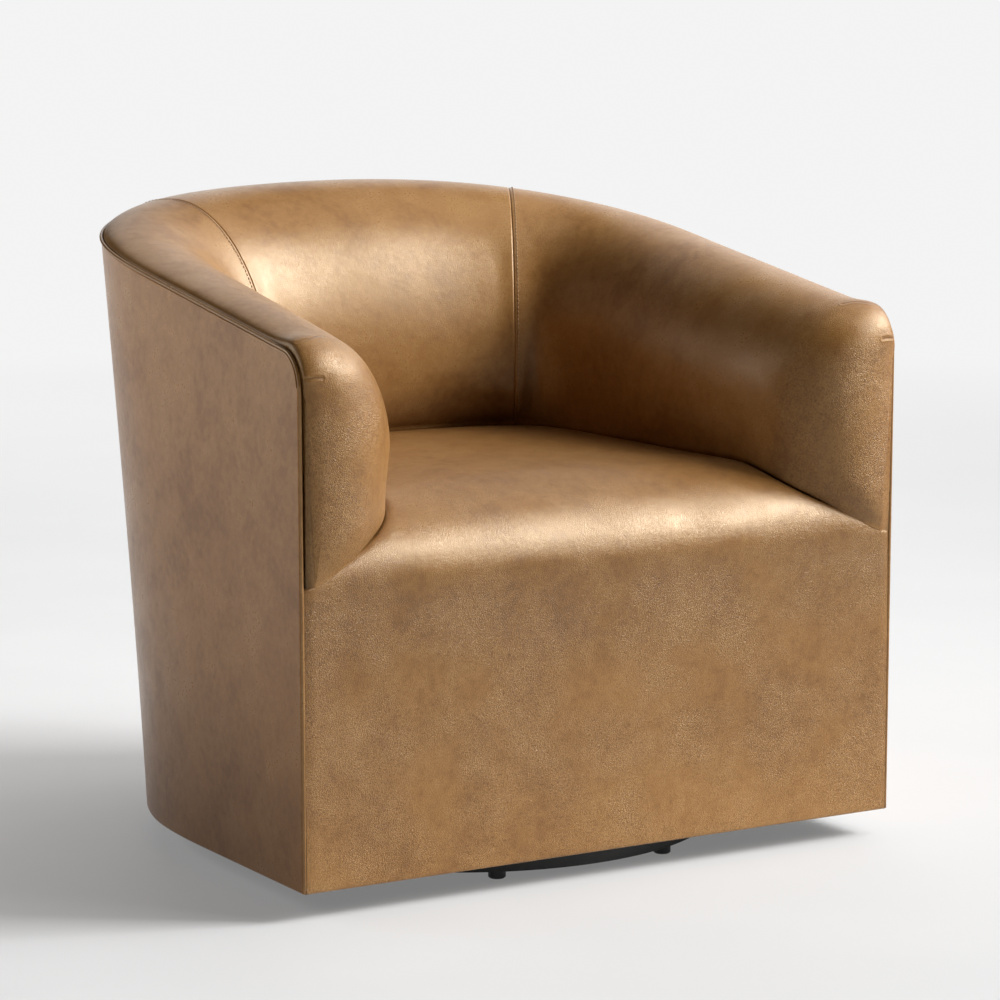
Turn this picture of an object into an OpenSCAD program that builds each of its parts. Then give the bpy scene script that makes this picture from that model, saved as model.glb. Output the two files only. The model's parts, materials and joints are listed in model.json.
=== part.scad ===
// Swivel accent chair: an upholstered tub on a ball-bearing swivel plate and a
// round plinth with glides.
//
// Frame: +Z up, the floor is z = 0, the front face looks along -Y and the sitter's
// right and left are -X and +X. The origin lies on the floor under the middle of
// the chair. Lengths are millimetres.
//
// Every upholstered wall is drawn in vertical planes that stand square to the top
// edge. A station along that edge is a number from 0 (left front corner) through
// 1 (middle of the back) to 2 (right front corner).

/* [Outline of the tub] */
// Overall width at the top edge
tub_w = 778; // [720:1:840]
// Overall depth at the top edge
tub_d = 700; // [660:1:760]
// How far each side leans in at the floor line
side_lean = 1.5; // [0:0.5:6]
// How far the back leans in at the floor line
back_lean = 32; // [16:1:48]
// Straight length of each side at the top edge
side_top = 367; // [330:1:380]
// Straight length of each side at the floor line
side_bottom = 184; // [176:1:200]
// Squareness of the top outline's curve
top_power = 2.8; // [2.4:0.1:3.2]
// Squareness of the floor line's curve
bottom_power = 2.6; // [2.5:0.1:2.8]

/* [Heights] */
// Underside of the leather above the floor
skirt_z = 33; // [31:0.5:42]
// Crest of the arm at its front
arm_z = 620; // [600:1:660]
// Rise of the crest along the straight run, for the whole half outline
rim_rise = 143; // [100:0.2:160]
// Station where the crest begins to level off
level_share = 0.71; // [0.6:0.01:0.85]
// Top of the front panel, where the seat begins to roll back
fall_z = 362; // [345:1:375]
// Height of the front roll
roll_h = 80; // [70:1:84]
// Depth of the front roll
roll_d = 115; // [90:1:130]
// Crown of the seat above its edge
seat_crown = 8; // [2:1:14]

/* [Rim and pads] */
// Crest above the seam line of the outside panel
crest_h = 12; // [10:1:18]
// Crest inside the seam line on the arms
arm_crest = 40; // [30:1:46]
// Crest inside the seam line on the back
back_crest = 52; // [40:1:60]
// Arm thickness at its front
arm_full = 120; // [112:1:126]
// Back thickness at its fullest
back_full = 174; // [160:1:180]
// Drop from the arm crest to the fullest place
arm_full_drop = 125; // [112:1:132]
// Drop from the back crest to the fullest place
back_full_drop = 142; // [130:1:160]
// Radius of the arm's top front corner
corner_r = 36; // [24:1:44]
// Station of the seam between arm pad and back pad
seam_share = 0.75; // [0.72:0.005:0.78]
// Thickness of the outside panels, leather over card
panel_t = 3; // [2:0.1:3.5]
// Radius of the welt cord
welt_r = 2.6; // [2:0.1:3]
// Thickness of the seat leather
hide_t = 2.8; // [1.6:0.1:3]

/* [Wooden frame] */
// Thickness of the side frames
side_t = 23; // [18:1:24]
// Thickness of the curved rails
rail_t = 26; // [20:1:26]
// Height of the bottom rails
bottom_rail_h = 70; // [50:1:90]
// Height of the seat rails
seat_rail_h = 72; // [50:1:80]
// Top of the seat rails
seat_rail_z = 322; // [300:1:326]
// Height of the top rail
top_rail_h = 62; // [40:1:70]
// Width of the two front struts
post_w = 45; // [30:1:60]
// Thickness of the two mounting boards
board_t = 22; // [18:1:26]
// Width of each mounting board
board_w = 60; // [50:1:70]

/* [Seat] */
// Distance of the outer springs' middles from the arm pads
spring_edge = 59; // [50:1:90]
// Radius of the spring wire
wire_r = 2; // [1.5:0.1:2.5]
// Width of a spring across its bends
spring_w = 56; // [46:1:64]
// Distance between the bends of a spring
bend_pitch = 30; // [26:1:34]
// Thickness of the deck pad over the springs
deck_t = 6; // [4:1:8]

/* [Plinth and swivel] */
// Radius of the round plinth
plinth_r = 300; // [260:1:310]
// Thickness of the plinth
plinth_t = 18; // [15:1:20]
// Distance of the swivel axis behind the front face
axis_depth = 328; // [310:1:345]
// Number of glides
glide_count = 8; // [4:1:10]
// Radius of each glide
glide_r = 10; // [8:0.5:12]
// Height of each glide
glide_h = 9; // [7:0.5:10]
// Distance of each glide's edge from the plinth's edge
glide_edge = 1; // [0:0.5:10]
// Side of the square swivel plates
plate_w = 250; // [230:1:260]
// Thickness of the swivel plates
plate_t = 2.5; // [2:0.1:3]
// Radius of the ball circle
race_r = 85; // [75:1:90]
// Radius of each bearing ball
ball_r = 4; // [3.5:0.1:4.2]
// Number of bearing balls
ball_count = 24; // [12:1:30]
// Radius of the centre stud
stud_r = 8; // [6:0.5:10]
// Radial clearance of the swivel's running fits
run_gap = 0.05; // [0.02:0.01:0.08]
// Radius of the plate bolts
bolt_r = 4; // [3:0.5:4]

/* [Hidden] */

$fn = 64;

leather = "#a8825a";
leather_dark = "#8f6d4b";
wood = "#c9a26d";
foam = "#e8dfc0";
steel = "#8d9196";
black = "#1d1c1b";
card = "#9b8b74";

// Clearances
seat_gap = 0.5;
hole_gap = 0.2;
rail_gap = 0.3;
soft_gap = 0.3;
tack_gap = 0.4;
through = 1;

front_y = -tub_d / 2;
back_y = tub_d / 2;
axis_y = front_y + axis_depth;

// Share of the half outline that is straight
straight_share = 0.4;
half_top = tub_w / 2;
half_bottom = half_top - side_lean;

// Outlines of the tub

// One point of a half outline: straight to a station, then a squared quarter oval
function half_outline(t, straight, half_w, run, rear, square) =
    t <= straight
    ? [half_w, front_y + run * t / straight]
    : let (a = 90 * (t - straight) / (1 - straight),
           r = pow(pow(cos(a), square) + pow(sin(a), square), -1 / square))
      [half_w * r * cos(a), front_y + run + (rear - front_y - run) * r * sin(a)];

function side_of(u) = u < 1 ? -1 : 1;
function half_of(u) = u < 1 ? u : 2 - u;
function top_half(t) = half_outline(t, straight_share, half_top, side_top, back_y, top_power);
function floor_half(t) =
    half_outline(t, bend_start, half_bottom, side_bottom, back_y - back_lean, bottom_power);

// Inward direction, square to the top edge, on the right half
tiny = 0.0005;
function half_normal(t) =
    t >= 1 - tiny ? [0, -1]
    : t <= straight_share ? [-1, 0]
    : let (d = top_half(min(t + tiny, 1)) - top_half(t - tiny))
      [-d[1], d[0]] / norm(d);

function full_lean(t) = (floor_half(t) - top_half(t)) * half_normal(t);

// Depth behind the front face at a station on the straight side
function station(depth) = straight_share * depth / side_top;
function depth_of(t) = side_top * t / straight_share;

// How far the rounded front corner has dropped at a depth
function corner_drop(depth) =
    depth >= corner_r ? 0 : corner_r - sqrt(corner_r * corner_r - pow(corner_r - depth, 2));

function crest_z(t) =
    let (past = max(0, t - level_share))
    arm_z + rim_rise * t - rim_rise * past * past / (2 * (1 - level_share));

// Lean of the wall at a height, none at the height of the back's seam line
lean_top = crest_z(1) - crest_h;
function lean(t, z) = full_lean(t) * (lean_top - z) / (lean_top - skirt_z);

// A point in the wall: inset from the top edge's vertical, without and with lean
function upright_point(u, inset, z) =
    let (t = half_of(u), p = top_half(t) + half_normal(t) * inset)
    [side_of(u) * p[0], p[1], z];
function wall_point(u, inset, z) = upright_point(u, inset + lean(half_of(u), z), z);

// Stations shared by every curved piece, so that their faces lie side by side
joint_step = 0.4;
side_frame_d = 230;
side_frame_y = front_y + side_frame_d;
side_end = station(side_frame_d);
bend_start = side_end + station(joint_step);
cover_cap = 6.5;
front_cap = 10;
front_depths = [0.8, 3, cover_cap, cover_cap + joint_step, front_cap, front_cap + joint_step,
    14, 20, 28, 42, 60, 84, roll_d - joint_step, roll_d + joint_step];
front_stations = [for (d = front_depths) station(d)];
side_steps = 3;
bend_stations = [for (i = [0:side_steps]) bend_start + (straight_share - bend_start) * i / side_steps];
side_stations = concat([(station(roll_d) + side_end) / 2, side_end - station(joint_step)], bend_stations);
corner_steps = 8;
corner_stations = [for (i = [1:corner_steps])
    straight_share + (seam_share - straight_share) * i / corner_steps];
back_steps = 7;
back_stations = [for (i = [1:back_steps]) seam_share + (1 - seam_share) * i / back_steps];
arm_stations = concat(front_stations, side_stations, corner_stations);
half_back = concat([seam_share], back_stations);
back_run = concat(half_back, [for (i = [back_steps - 1:-1:0]) 2 - half_back[i]]);
rear_stations = concat(bend_stations, corner_stations, back_stations);
rear_run = concat(rear_stations, [for (i = [len(rear_stations) - 2:-1:0]) 2 - rear_stations[i]]);

// Closed solid through a list of rings with equal numbers of points
module loft(rings) {
    n = len(rings[0]);
    m = len(rings);
    points = [for (ring = rings) each ring];
    sides = [for (i = [0:m - 2]) for (j = [0:n - 1])
        let (a = i * n + j, b = i * n + (j + 1) % n)
        each [[a, b, b + n], [a, b + n, a + n]]];
    start = [[for (j = [n - 1:-1:0]) j]];
    end = [[for (j = [0:n - 1]) (m - 1) * n + j]];
    polyhedron(points = points, faces = concat(sides, start, end), convexity = 10);
}

// Closed solid through rows of equal length, each a run of top points and the same
// number of points below them in the opposite order; the ends are closed in strips
module row_loft(rows) {
    n = len(rows[0]);
    m = len(rows);
    points = [for (row = rows) each row];
    sides = [for (i = [0:m - 2]) for (j = [0:n - 1])
        let (a = i * n + j, b = i * n + (j + 1) % n)
        each [[a, b, b + n], [a, b + n, a + n]]];
    start = [for (j = [0:n / 2 - 2])
        each [[j + 1, j, n - 1 - j], [j + 1, n - 1 - j, n - 2 - j]]];
    last = (m - 1) * n;
    end = [for (j = [0:n / 2 - 2])
        each [[last + j, last + j + 1, last + n - 1 - j],
              [last + j + 1, last + n - 2 - j, last + n - 1 - j]]];
    polyhedron(points = points, faces = concat(sides, start, end), convexity = 10);
}

// A band in the wall between two insets, in rows one above the other; low and high
// are heights at each station
function row_z(low, high, k, rows) = low + (high - low) * k / rows;
module wall_band(stations, inset_a, inset_b, low, high, rows) {
    row_loft([for (i = [0:len(stations) - 1]) concat(
        [for (k = [0:rows]) wall_point(stations[i], inset_b, row_z(low[i], high[i], k, rows))],
        [for (k = [rows:-1:0]) wall_point(stations[i], inset_a, row_z(low[i], high[i], k, rows))])]);
}

// Same height at every station
function level(stations, z) = [for (u = stations) z];

// Mirror image for the right side
module right_side() {
    mirror([1, 0, 0]) children();
}

// Thickness of the pads along the edge: it grows from the arm's front to the back
full_share = 0.8;
grow_power = 0.55;
function share(t) = min(1, t / full_share);
function blend(t, arm, back) = arm + (back - arm) * share(t);
function pad_full(t) = arm_full + (back_full - arm_full) * pow(sin(90 * share(t)), grow_power);

// The welt stands inside the top edge; the pads begin just inside it
corner_in = 2 * welt_r + soft_gap;
pad_edge = corner_in;

// The seat

seat_edge_z = fall_z + roll_h;
function ease(x) = let (c = max(0, min(1, x))) c * c * (3 - 2 * c);

// Height on the front roll at a depth, for the outer face or for a layer inside it
function roll_arc(depth, reach, rise) =
    let (s = max(0, 1 - depth / reach))
    fall_z + rise * sqrt(max(0, 1 - s * s));
function roll_z(depth) = roll_arc(depth, roll_d, roll_h);
function under_roll(depth) =
    let (inner = (roll_d - hide_t) * depth / roll_d)
    [inner + hide_t, roll_arc(inner, roll_d - hide_t, roll_h - hide_t)];

// Share of its full thickness that the arm has at a depth; the lower part tapers more
low_taper = 105;
high_taper = 60;
low_power = 2;
high_power = 2.8;
taper_above = 60;
function taper(depth, z) =
    let (w = ease((z - fall_z) / (roll_h + taper_above)),
         reach = low_taper + (high_taper - low_taper) * w,
         power = low_power + (high_power - low_power) * w)
    depth >= reach ? 1 : pow(1 - pow(1 - depth / reach, power), 1 / power);

// The seat's edge at a station, just clear of the pads
function seat_edge(t) = top_half(t) + half_normal(t) * (pad_full(t) + seat_gap);

// Half width of the open seat at a depth in the front roll
function open_half(depth) =
    half_top - seat_gap - pad_edge
    - (pad_full(station(depth)) - pad_edge) * taper(depth, roll_z(depth));

// The crown fades to nothing at the front roll, the sides and the back
seat_length = tub_d - back_full;
crown_power = 0.7;
function seat_lift(x, depth, half_w) =
    let (across = max(0, 1 - pow(x / half_w, 2)),
         along = max(0, sin(180 * max(0, min(1, depth / seat_length)))))
    seat_crown * across * pow(along, crown_power);

// The wooden frame's outer and inner faces
rail_inset = panel_t + tack_gap;
frame_half = half_bottom - rail_inset;
inner_half = frame_half - side_t;
foam_half = inner_half - rail_gap;
cover_half = half_bottom - corner_in;

// Rows of the seat: depth and height of the outer face, the same under the hide,
// half width of the crown and half width of the row
edge_strip = 1;
function roll_row(depth) =
    let (under = under_roll(depth), wide = depth <= cover_cap ? cover_half : foam_half)
    [depth, roll_z(depth), under[0], under[1], min(open_half(depth), wide - edge_strip), wide];
function body_row(t) =
    let (p = seat_edge(t), depth = p[1] - front_y)
    [depth, seat_edge_z, depth, seat_edge_z - hide_t, p[0] - edge_strip, p[0]];

wide_end = roll_d - 3 * joint_step;
narrow_start = roll_d - 2 * joint_step;
seat_stations = concat([for (t = arm_stations) if (depth_of(t) > roll_d) t],
    [for (i = [0:back_steps - 2]) back_stations[i]]);
body_rows = concat([body_row(station(narrow_start))], [for (t = seat_stations) body_row(t)]);
roll_rows = [for (d = concat([for (d = front_depths) if (d < wide_end) d], [wide_end])) roll_row(d)];
columns = 12;
function row_xs(row) =
    concat([-row[5]], [for (i = [0:columns]) row[4] * (2 * i / columns - 1)], [row[5]]);

// The arm pad

hollow_drop = 48;
frame_drop = hollow_drop + 2;
lip = 3;
side_hollow = half_top - inner_half + rail_gap;
rear_hollow = rail_inset + rail_t + 2 * rail_gap;
pad_low_z = 340;

// Height lost to the rounded top corner, strongest at the crest
corner_low = 40;
corner_high = 20;
function corner_z(t, z) =
    let (range = crest_z(t) - seat_edge_z - corner_low - corner_high)
    z - corner_drop(depth_of(t)) * ease((z - seat_edge_z - corner_low) / range);

// One point of the pad's face
function pad_point(u, inset, z) =
    let (t = half_of(u), g = taper(depth_of(t), z))
    upright_point(u, pad_edge + (inset - pad_edge) * g, corner_z(t, z));

rim_steps = 4;
brow_steps = 8;
rim_lift = 1;
face_lift = 4;
face_shares = [0.35, 0.7, 1];

// The pad's section at a station; hollow is the inset of its frame side
function pad_ring(u, hollow, low_z) =
    let (t = half_of(u),
         top = crest_z(t),
         crest = blend(t, arm_crest, back_crest),
         full = pad_full(t),
         drop = blend(t, arm_full_drop, back_full_drop),
         face_low = max(seat_edge_z + face_lift, low_z),
         solid = depth_of(t) <= front_cap)
    concat(
        [for (i = [0:rim_steps]) let (a = 90 * i / rim_steps)
            pad_point(u, pad_edge + (crest - pad_edge) * (1 - cos(a)),
                top - crest_h + rim_lift + (crest_h - rim_lift) * sin(a))],
        [for (i = [1:brow_steps]) let (a = 90 * i / brow_steps)
            pad_point(u, crest + (full - crest) * sin(a), top - drop * (1 - cos(a)))],
        [for (s = face_shares) pad_point(u, full, top - drop + (face_low - top + drop) * s)],
        [pad_point(u, full, low_z)],
        [for (k = [0:hollow_rows]) let (z = row_z(low_z, top - hollow_drop, k, hollow_rows))
            solid ? upright_point(u, hollow, z) : wall_point(u, hollow, z)],
        [upright_point(u, pad_edge + lip, top - hollow_drop)]);

function hollow_at(t) =
    depth_of(t) <= front_cap ? pad_edge + lip + soft_gap
    : t <= side_end ? side_hollow
    : rear_hollow;
function low_at(t) = depth_of(t) <= roll_d ? roll_z(depth_of(t)) + seat_gap : pad_low_z;

// Swivel heights, from the floor up
plinth_z = glide_h;
plinth_top = plinth_z + plinth_t;
lower_plate_top = plinth_top + plate_t;
race_h = 3.5;
race_gap = 1.5;
ball_z = lower_plate_top + race_h + race_gap / 2;
upper_plate_z = ball_z + race_gap / 2 + race_h;
upper_plate_top = upper_plate_z + plate_t;
race_half = 14;
plate_corner = 20;
bolt_edge = 20;
plate_bolt = plate_w / 2 - bolt_edge;
board_x = plate_bolt;
rail_lift = 3;
rail_z = skirt_z + rail_lift;
hub_step = 7;
hole_step = 12;
stud_hole = stud_r + hole_step;
half_diagonal = plate_w * sqrt(2) / 2;
head_r = 2 * bolt_r;
bolt_end = 2;
hub_r = stud_r + hub_step;
washer_t = 1.5;
nut_h = 6.5;
head_h = 3;

module at_axis() {
    translate([0, axis_y, 0]) children();
}

module ring_copies(count, r, first) {
    for (i = [0:count - 1])
        rotate(first + 360 * i / count) translate([0, r, 0]) children();
}

module plate_bolt_places() {
    for (x = [-1, 1], y = [-1, 1])
        translate([x * plate_bolt, y * plate_bolt, 0]) children();
}

glide_ring = plinth_r - glide_edge - glide_r;
glide_turn = 180 / glide_count;
screw_r = 2;
screw_head_r = 4;
screw_depth = 13;

// Round plywood plinth, painted black
module plinth() {
    color(black) at_axis() difference() {
        translate([0, 0, plinth_z]) cylinder(h = plinth_t, r = plinth_r, $fn = 128);
        translate([0, 0, plinth_z - 1]) cylinder(h = plinth_t + 2, r = stud_hole);
        ring_copies(glide_count, glide_ring, glide_turn)
            translate([0, 0, plinth_z - 1])
                cylinder(h = screw_depth + hole_gap + 1, r = screw_r + hole_gap / 2);
        plate_bolt_places() {
            translate([0, 0, plinth_z - 1]) cylinder(h = plinth_t + 2, r = bolt_r + hole_gap);
            translate([0, 0, plinth_z - 1]) cylinder(h = nut_h + bolt_end, r = head_r + 1);
        }
    }
}

glide_recess = 3;
glide_chamfer = 1.5;
screw_head_h = 2;

// Turned plastic glides with a recess for the screw head
module glides() {
    color("#2b2a29") at_axis() ring_copies(glide_count, glide_ring, glide_turn)
        difference() {
            rotate_extrude() polygon([[0, 0], [glide_r - glide_chamfer, 0], [glide_r, glide_chamfer],
                [glide_r, glide_h], [0, glide_h]]);
            translate([0, 0, -1]) cylinder(h = glide_recess + 1, r = screw_head_r + hole_gap);
            translate([0, 0, -1]) cylinder(h = glide_h + 2, r = screw_r + hole_gap / 2);
        }
}

module glide_screws() {
    color(steel) at_axis() ring_copies(glide_count, glide_ring, glide_turn) {
        translate([0, 0, glide_recess - screw_head_h]) cylinder(h = screw_head_h, r = screw_head_r);
        translate([0, 0, glide_recess]) cylinder(h = glide_h - glide_recess + screw_depth, r = screw_r);
    }
}

// Square pressed plate with cut corners
module plate_blank(z) {
    translate([0, 0, z]) intersection() {
        translate([-plate_w / 2, -plate_w / 2, 0]) cube([plate_w, plate_w, plate_t]);
        rotate(45) translate([plate_corner - half_diagonal, plate_corner - half_diagonal, 0])
            cube([2 * (half_diagonal - plate_corner), 2 * (half_diagonal - plate_corner), plate_t]);
    }
}

// Channel that the balls run in
module ball_channel() {
    rotate_extrude($fn = 96) translate([race_r, ball_z]) circle(r = ball_r + run_gap, $fn = 32);
}

module race_ring(z) {
    translate([0, 0, z]) difference() {
        cylinder(h = race_h, r = race_r + race_half);
        translate([0, 0, -1]) cylinder(h = race_h + 2, r = race_r - race_half);
    }
}

module lower_plate() {
    color(steel) at_axis() difference() {
        union() {
            plate_blank(plinth_top);
            race_ring(lower_plate_top);
        }
        ball_channel();
        translate([0, 0, plinth_top - 1]) cylinder(h = plate_t + 2, r = stud_r + run_gap);
        plate_bolt_places()
            translate([0, 0, plinth_top - 1]) cylinder(h = plate_t + 2, r = bolt_r + hole_gap);
    }
}

module lower_bolts() {
    color(black) at_axis() plate_bolt_places() {
        translate([0, 0, lower_plate_top]) cylinder(h = head_h, r = head_r);
        translate([0, 0, plinth_z + 1]) cylinder(h = lower_plate_top - plinth_z - 1, r = bolt_r);
    }
}

module lower_nuts() {
    color(steel) at_axis() plate_bolt_places() translate([0, 0, plinth_z + 1 - hole_gap]) difference() {
        cylinder(h = nut_h, r = head_r, $fn = 6);
        translate([0, 0, -1]) cylinder(h = nut_h + 2, r = bolt_r + run_gap);
    }
}

stud_head_h = 4;
stud_head_edge = 6;
stud_nut_edge = 5;
stud_foot = plinth_top - stud_head_h;
stud_top = upper_plate_top + washer_t + nut_h + bolt_end;
stud_head_r = stud_r + stud_head_edge;
stud_nut_r = stud_r + stud_nut_edge;

// Centre stud, headed under the lower plate
module centre_stud() {
    color(steel) at_axis() {
        translate([0, 0, stud_foot]) cylinder(h = stud_head_h, r = stud_head_r);
        translate([0, 0, plinth_top]) cylinder(h = stud_top - plinth_top, r = stud_r);
    }
}

module stud_washer() {
    color(steel) at_axis() translate([0, 0, upper_plate_top + run_gap]) difference() {
        cylinder(h = washer_t - run_gap, r = hub_r);
        translate([0, 0, -1]) cylinder(h = washer_t + 2, r = stud_r + run_gap);
    }
}

module stud_nut() {
    color(steel) at_axis() translate([0, 0, upper_plate_top + washer_t]) difference() {
        cylinder(h = nut_h, r = stud_nut_r, $fn = 6);
        translate([0, 0, -1]) cylinder(h = nut_h + 2, r = stud_r + run_gap);
    }
}

cage_t = 0.9;
cage_half = 9;

module ball_cage() {
    color("#b58b3a") at_axis() difference() {
        translate([0, 0, ball_z - cage_t / 2]) cylinder(h = cage_t, r = race_r + cage_half);
        translate([0, 0, ball_z - cage_t]) cylinder(h = 2 * cage_t, r = race_r - cage_half);
        ring_copies(ball_count, race_r, 0)
            translate([0, 0, ball_z - cage_t]) cylinder(h = 2 * cage_t, r = ball_r + run_gap);
    }
}

module bearing_balls() {
    color("#d5d8dc") at_axis() ring_copies(ball_count, race_r, 0)
        translate([0, 0, ball_z]) sphere(r = ball_r, $fn = 32);
}

module upper_plate() {
    color(steel) at_axis() difference() {
        union() {
            plate_blank(upper_plate_z);
            race_ring(upper_plate_z - race_h);
            translate([0, 0, lower_plate_top + 0.5])
                cylinder(h = upper_plate_z - lower_plate_top, r = hub_r);
        }
        ball_channel();
        translate([0, 0, lower_plate_top]) cylinder(h = upper_plate_top, r = stud_r + run_gap);
        plate_bolt_places()
            translate([0, 0, upper_plate_z - 1]) cylinder(h = plate_t + 2, r = bolt_r + hole_gap);
    }
}

board_z = upper_plate_top;
board_top = board_z + board_t;

module upper_bolts() {
    color(black) at_axis() plate_bolt_places() {
        translate([0, 0, upper_plate_z - head_h]) cylinder(h = head_h, r = head_r);
        translate([0, 0, upper_plate_z]) cylinder(h = plate_t + board_t + nut_h + bolt_end, r = bolt_r);
    }
}

module upper_nuts() {
    color(steel) at_axis() plate_bolt_places() translate([0, 0, board_top]) difference() {
        cylinder(h = nut_h, r = head_r, $fn = 6);
        translate([0, 0, -1]) cylinder(h = nut_h + 2, r = bolt_r + run_gap);
    }
}

// Rows of facets up the rails, posts, panels and hollows
rail_rows = 1;
post_rows = 3;
panel_rows = 8;
hollow_rows = 4;

// Rails across the front, behind the front board
front_board_t = 4;
front_board_low = 10;
front_rail_d = hide_t + front_board_t + 2 * rail_gap;
front_rail_y = front_y + front_rail_d;
front_rail_back = front_rail_y + rail_t;

// Plan line in the wall at one height, from the middle of the back to the right
function rear_line(inset, z) =
    [for (u = rear_run) if (u >= 1) let (p = wall_point(u, inset, z)) [p[0], p[1]]];

// Mounting board, cut at the back to the line of the bottom rail
module mount_board() {
    back_line = rear_line(rail_inset + rail_t + rail_gap, board_z);
    near = board_x - board_w / 2;
    far = board_x + board_w / 2;
    color(wood) difference() {
        translate([0, 0, board_z]) linear_extrude(height = board_t)
            polygon([[near, front_rail_back], [far, front_rail_back],
                [far, lookup(far, back_line)], [near, lookup(near, back_line)]]);
        at_axis() plate_bolt_places()
            translate([0, 0, board_z - through]) cylinder(h = board_t + 2 * through, r = bolt_r + hole_gap);
    }
}

module left_mount_board() {
    mirror([1, 0, 0]) mount_board();
}

module right_mount_board() {
    mount_board();
}

// Plywood side, cut to the slope of the arm
function side_top_z(y) = crest_z(station(y - front_y)) - frame_drop;
module side_frame() {
    front = front_y + front_cap + 2 * joint_step;
    color(wood) translate([frame_half, 0, 0]) rotate([90, 0, -90])
        linear_extrude(height = side_t)
            polygon([[-side_frame_y, rail_z], [-front, rail_z],
                [-front, side_top_z(front) - corner_r],
                [-front - corner_r, side_top_z(front + corner_r)],
                [-side_frame_y, side_top_z(side_frame_y)]]);
}

module left_side_frame() {
    mirror([1, 0, 0]) side_frame();
}

module right_side_frame() {
    side_frame();
}

module bottom_front_rail() {
    color(wood) translate([-inner_half, front_rail_y, rail_z])
        cube([2 * inner_half, rail_t, bottom_rail_h]);
}

module seat_front_rail() {
    color(wood) translate([-inner_half, front_rail_y, seat_rail_z - seat_rail_h])
        cube([2 * inner_half, rail_t, seat_rail_h]);
}

strut_x = 160;
module front_struts() {
    color(wood) for (x = [-1, 1])
        translate([x * strut_x - post_w / 2, front_rail_y, rail_z + bottom_rail_h])
            cube([post_w, rail_t, seat_rail_z - seat_rail_h - rail_z - bottom_rail_h]);
}

module rear_rail(low, high) {
    color(wood) wall_band(rear_run, rail_inset, rail_inset + rail_t, low, high, rail_rows);
}

module bottom_back_rail() {
    rear_rail(level(rear_run, rail_z), level(rear_run, rail_z + bottom_rail_h));
}

module seat_back_rail() {
    rear_rail(level(rear_run, seat_rail_z - seat_rail_h), level(rear_run, seat_rail_z));
}

module back_top_rail() {
    tops = [for (u = rear_run) crest_z(half_of(u)) - frame_drop];
    rear_rail([for (z = tops) z - top_rail_h], tops);
}

// Upright in two lengths between the rails, from one shared station to the next
module upright(stations) {
    color(wood) {
        wall_band(stations, rail_inset, rail_inset + rail_t, level(stations, rail_z + bottom_rail_h),
            level(stations, seat_rail_z - seat_rail_h), post_rows);
        wall_band(stations, rail_inset, rail_inset + rail_t, level(stations, seat_rail_z),
            level(stations, crest_z(min(stations)) - frame_drop - top_rail_h - rail_gap), post_rows);
    }
}

corner_post_step = 2;
rear_post_step = 1;
corner_post = [corner_stations[corner_post_step], corner_stations[corner_post_step + 1]];
rear_post = [back_stations[rear_post_step], back_stations[rear_post_step + 1]];

module left_corner_post() {
    upright(corner_post);
}

module right_corner_post() {
    right_side() upright(corner_post);
}

module left_rear_post() {
    upright(rear_post);
}

module right_rear_post() {
    right_side() upright(rear_post);
}

block_side = 70;
block_h = 45;
block_lift = 10;

// Glued blocks that square the frame at the front
module corner_blocks() {
    color(wood) for (s = [0, 1], z = [rail_z, seat_rail_z - seat_rail_h])
        mirror([s, 0, 0])
            translate([inner_half, front_rail_back, z + block_lift])
                linear_extrude(height = block_h)
                    polygon([[0, 0], [-block_side, 0], [0, block_side]]);
}

module front_board() {
    color(card) translate([-cover_half, front_y + hide_t + rail_gap, rail_z])
        cube([2 * cover_half, front_board_t, fall_z - rail_z - front_board_low]);
}

wire_lift = 1;
wire_z = seat_rail_z + wire_r + wire_lift;
spring_front = front_rail_y + rail_t / 2;
spring_count = 5;
spring_pitch = 2 * (half_top - arm_full - spring_edge) / (spring_count - 1);
function spring_x(i) = spring_pitch * (i - (spring_count - 1) / 2);

// A spring runs in whole bends from the front rail to the middle of the seat back rail
spring_line = rear_line(rail_inset + rail_t / 2, seat_rail_z);
function spring_reach(i) = lookup(abs(spring_x(i)), spring_line) - spring_front;
function spring_bends(i) = round(spring_reach(i) / bend_pitch);
function spring_start(i) = (spring_reach(i) - spring_bends(i) * bend_pitch) / 2;

// Wavy wire spring lying along Y
module spring(count) {
    bend_r = bend_pitch / 2;
    run = spring_w - 2 * bend_r;
    for (i = [0:count])
        translate([0, i * bend_pitch, 0]) rotate([0, 90, 0])
            translate([0, 0, -run / 2]) cylinder(h = run, r = wire_r, $fn = 16);
    for (i = [0:count - 1]) {
        side = i % 2 == 0 ? 1 : -1;
        translate([side * run / 2, (i + 0.5) * bend_pitch, 0])
            rotate(side > 0 ? -90 : 90)
                rotate_extrude(angle = 180, $fn = 32) translate([bend_r, 0]) circle(r = wire_r, $fn = 16);
    }
}

module seat_spring(i) {
    color(steel) translate([spring_x(i), spring_front + spring_start(i), wire_z])
        spring(spring_bends(i));
}

module seat_spring_1() {
    seat_spring(0);
}

module seat_spring_2() {
    seat_spring(1);
}

module seat_spring_3() {
    seat_spring(2);
}

module seat_spring_4() {
    seat_spring(3);
}

module seat_spring_5() {
    seat_spring(4);
}

clip_w = 24;
clip_l = 14;
clip_roof = 1.5;

// Clips that hold the first and last wire of each spring to the rails
module spring_clips() {
    color("#2f3133") for (i = [0:spring_count - 1], bend = [0, spring_bends(i)])
        translate([spring_x(i) - clip_w / 2, 0, seat_rail_z])
            translate([0, spring_front + spring_start(i) + bend * bend_pitch - clip_l / 2, 0])
            difference() {
                cube([clip_w, clip_l, wire_z - seat_rail_z + wire_r + clip_roof]);
                translate([-through, clip_l / 2, wire_z - seat_rail_z]) rotate([0, 90, 0])
                    cylinder(h = clip_w + 2 * through, r = wire_r + hole_gap / 2, $fn = 24);
            }
}

tie_r = 1.5;
tie_gap = 0.05;
tie_front_y = -120;
tie_back_y = 60;

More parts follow.
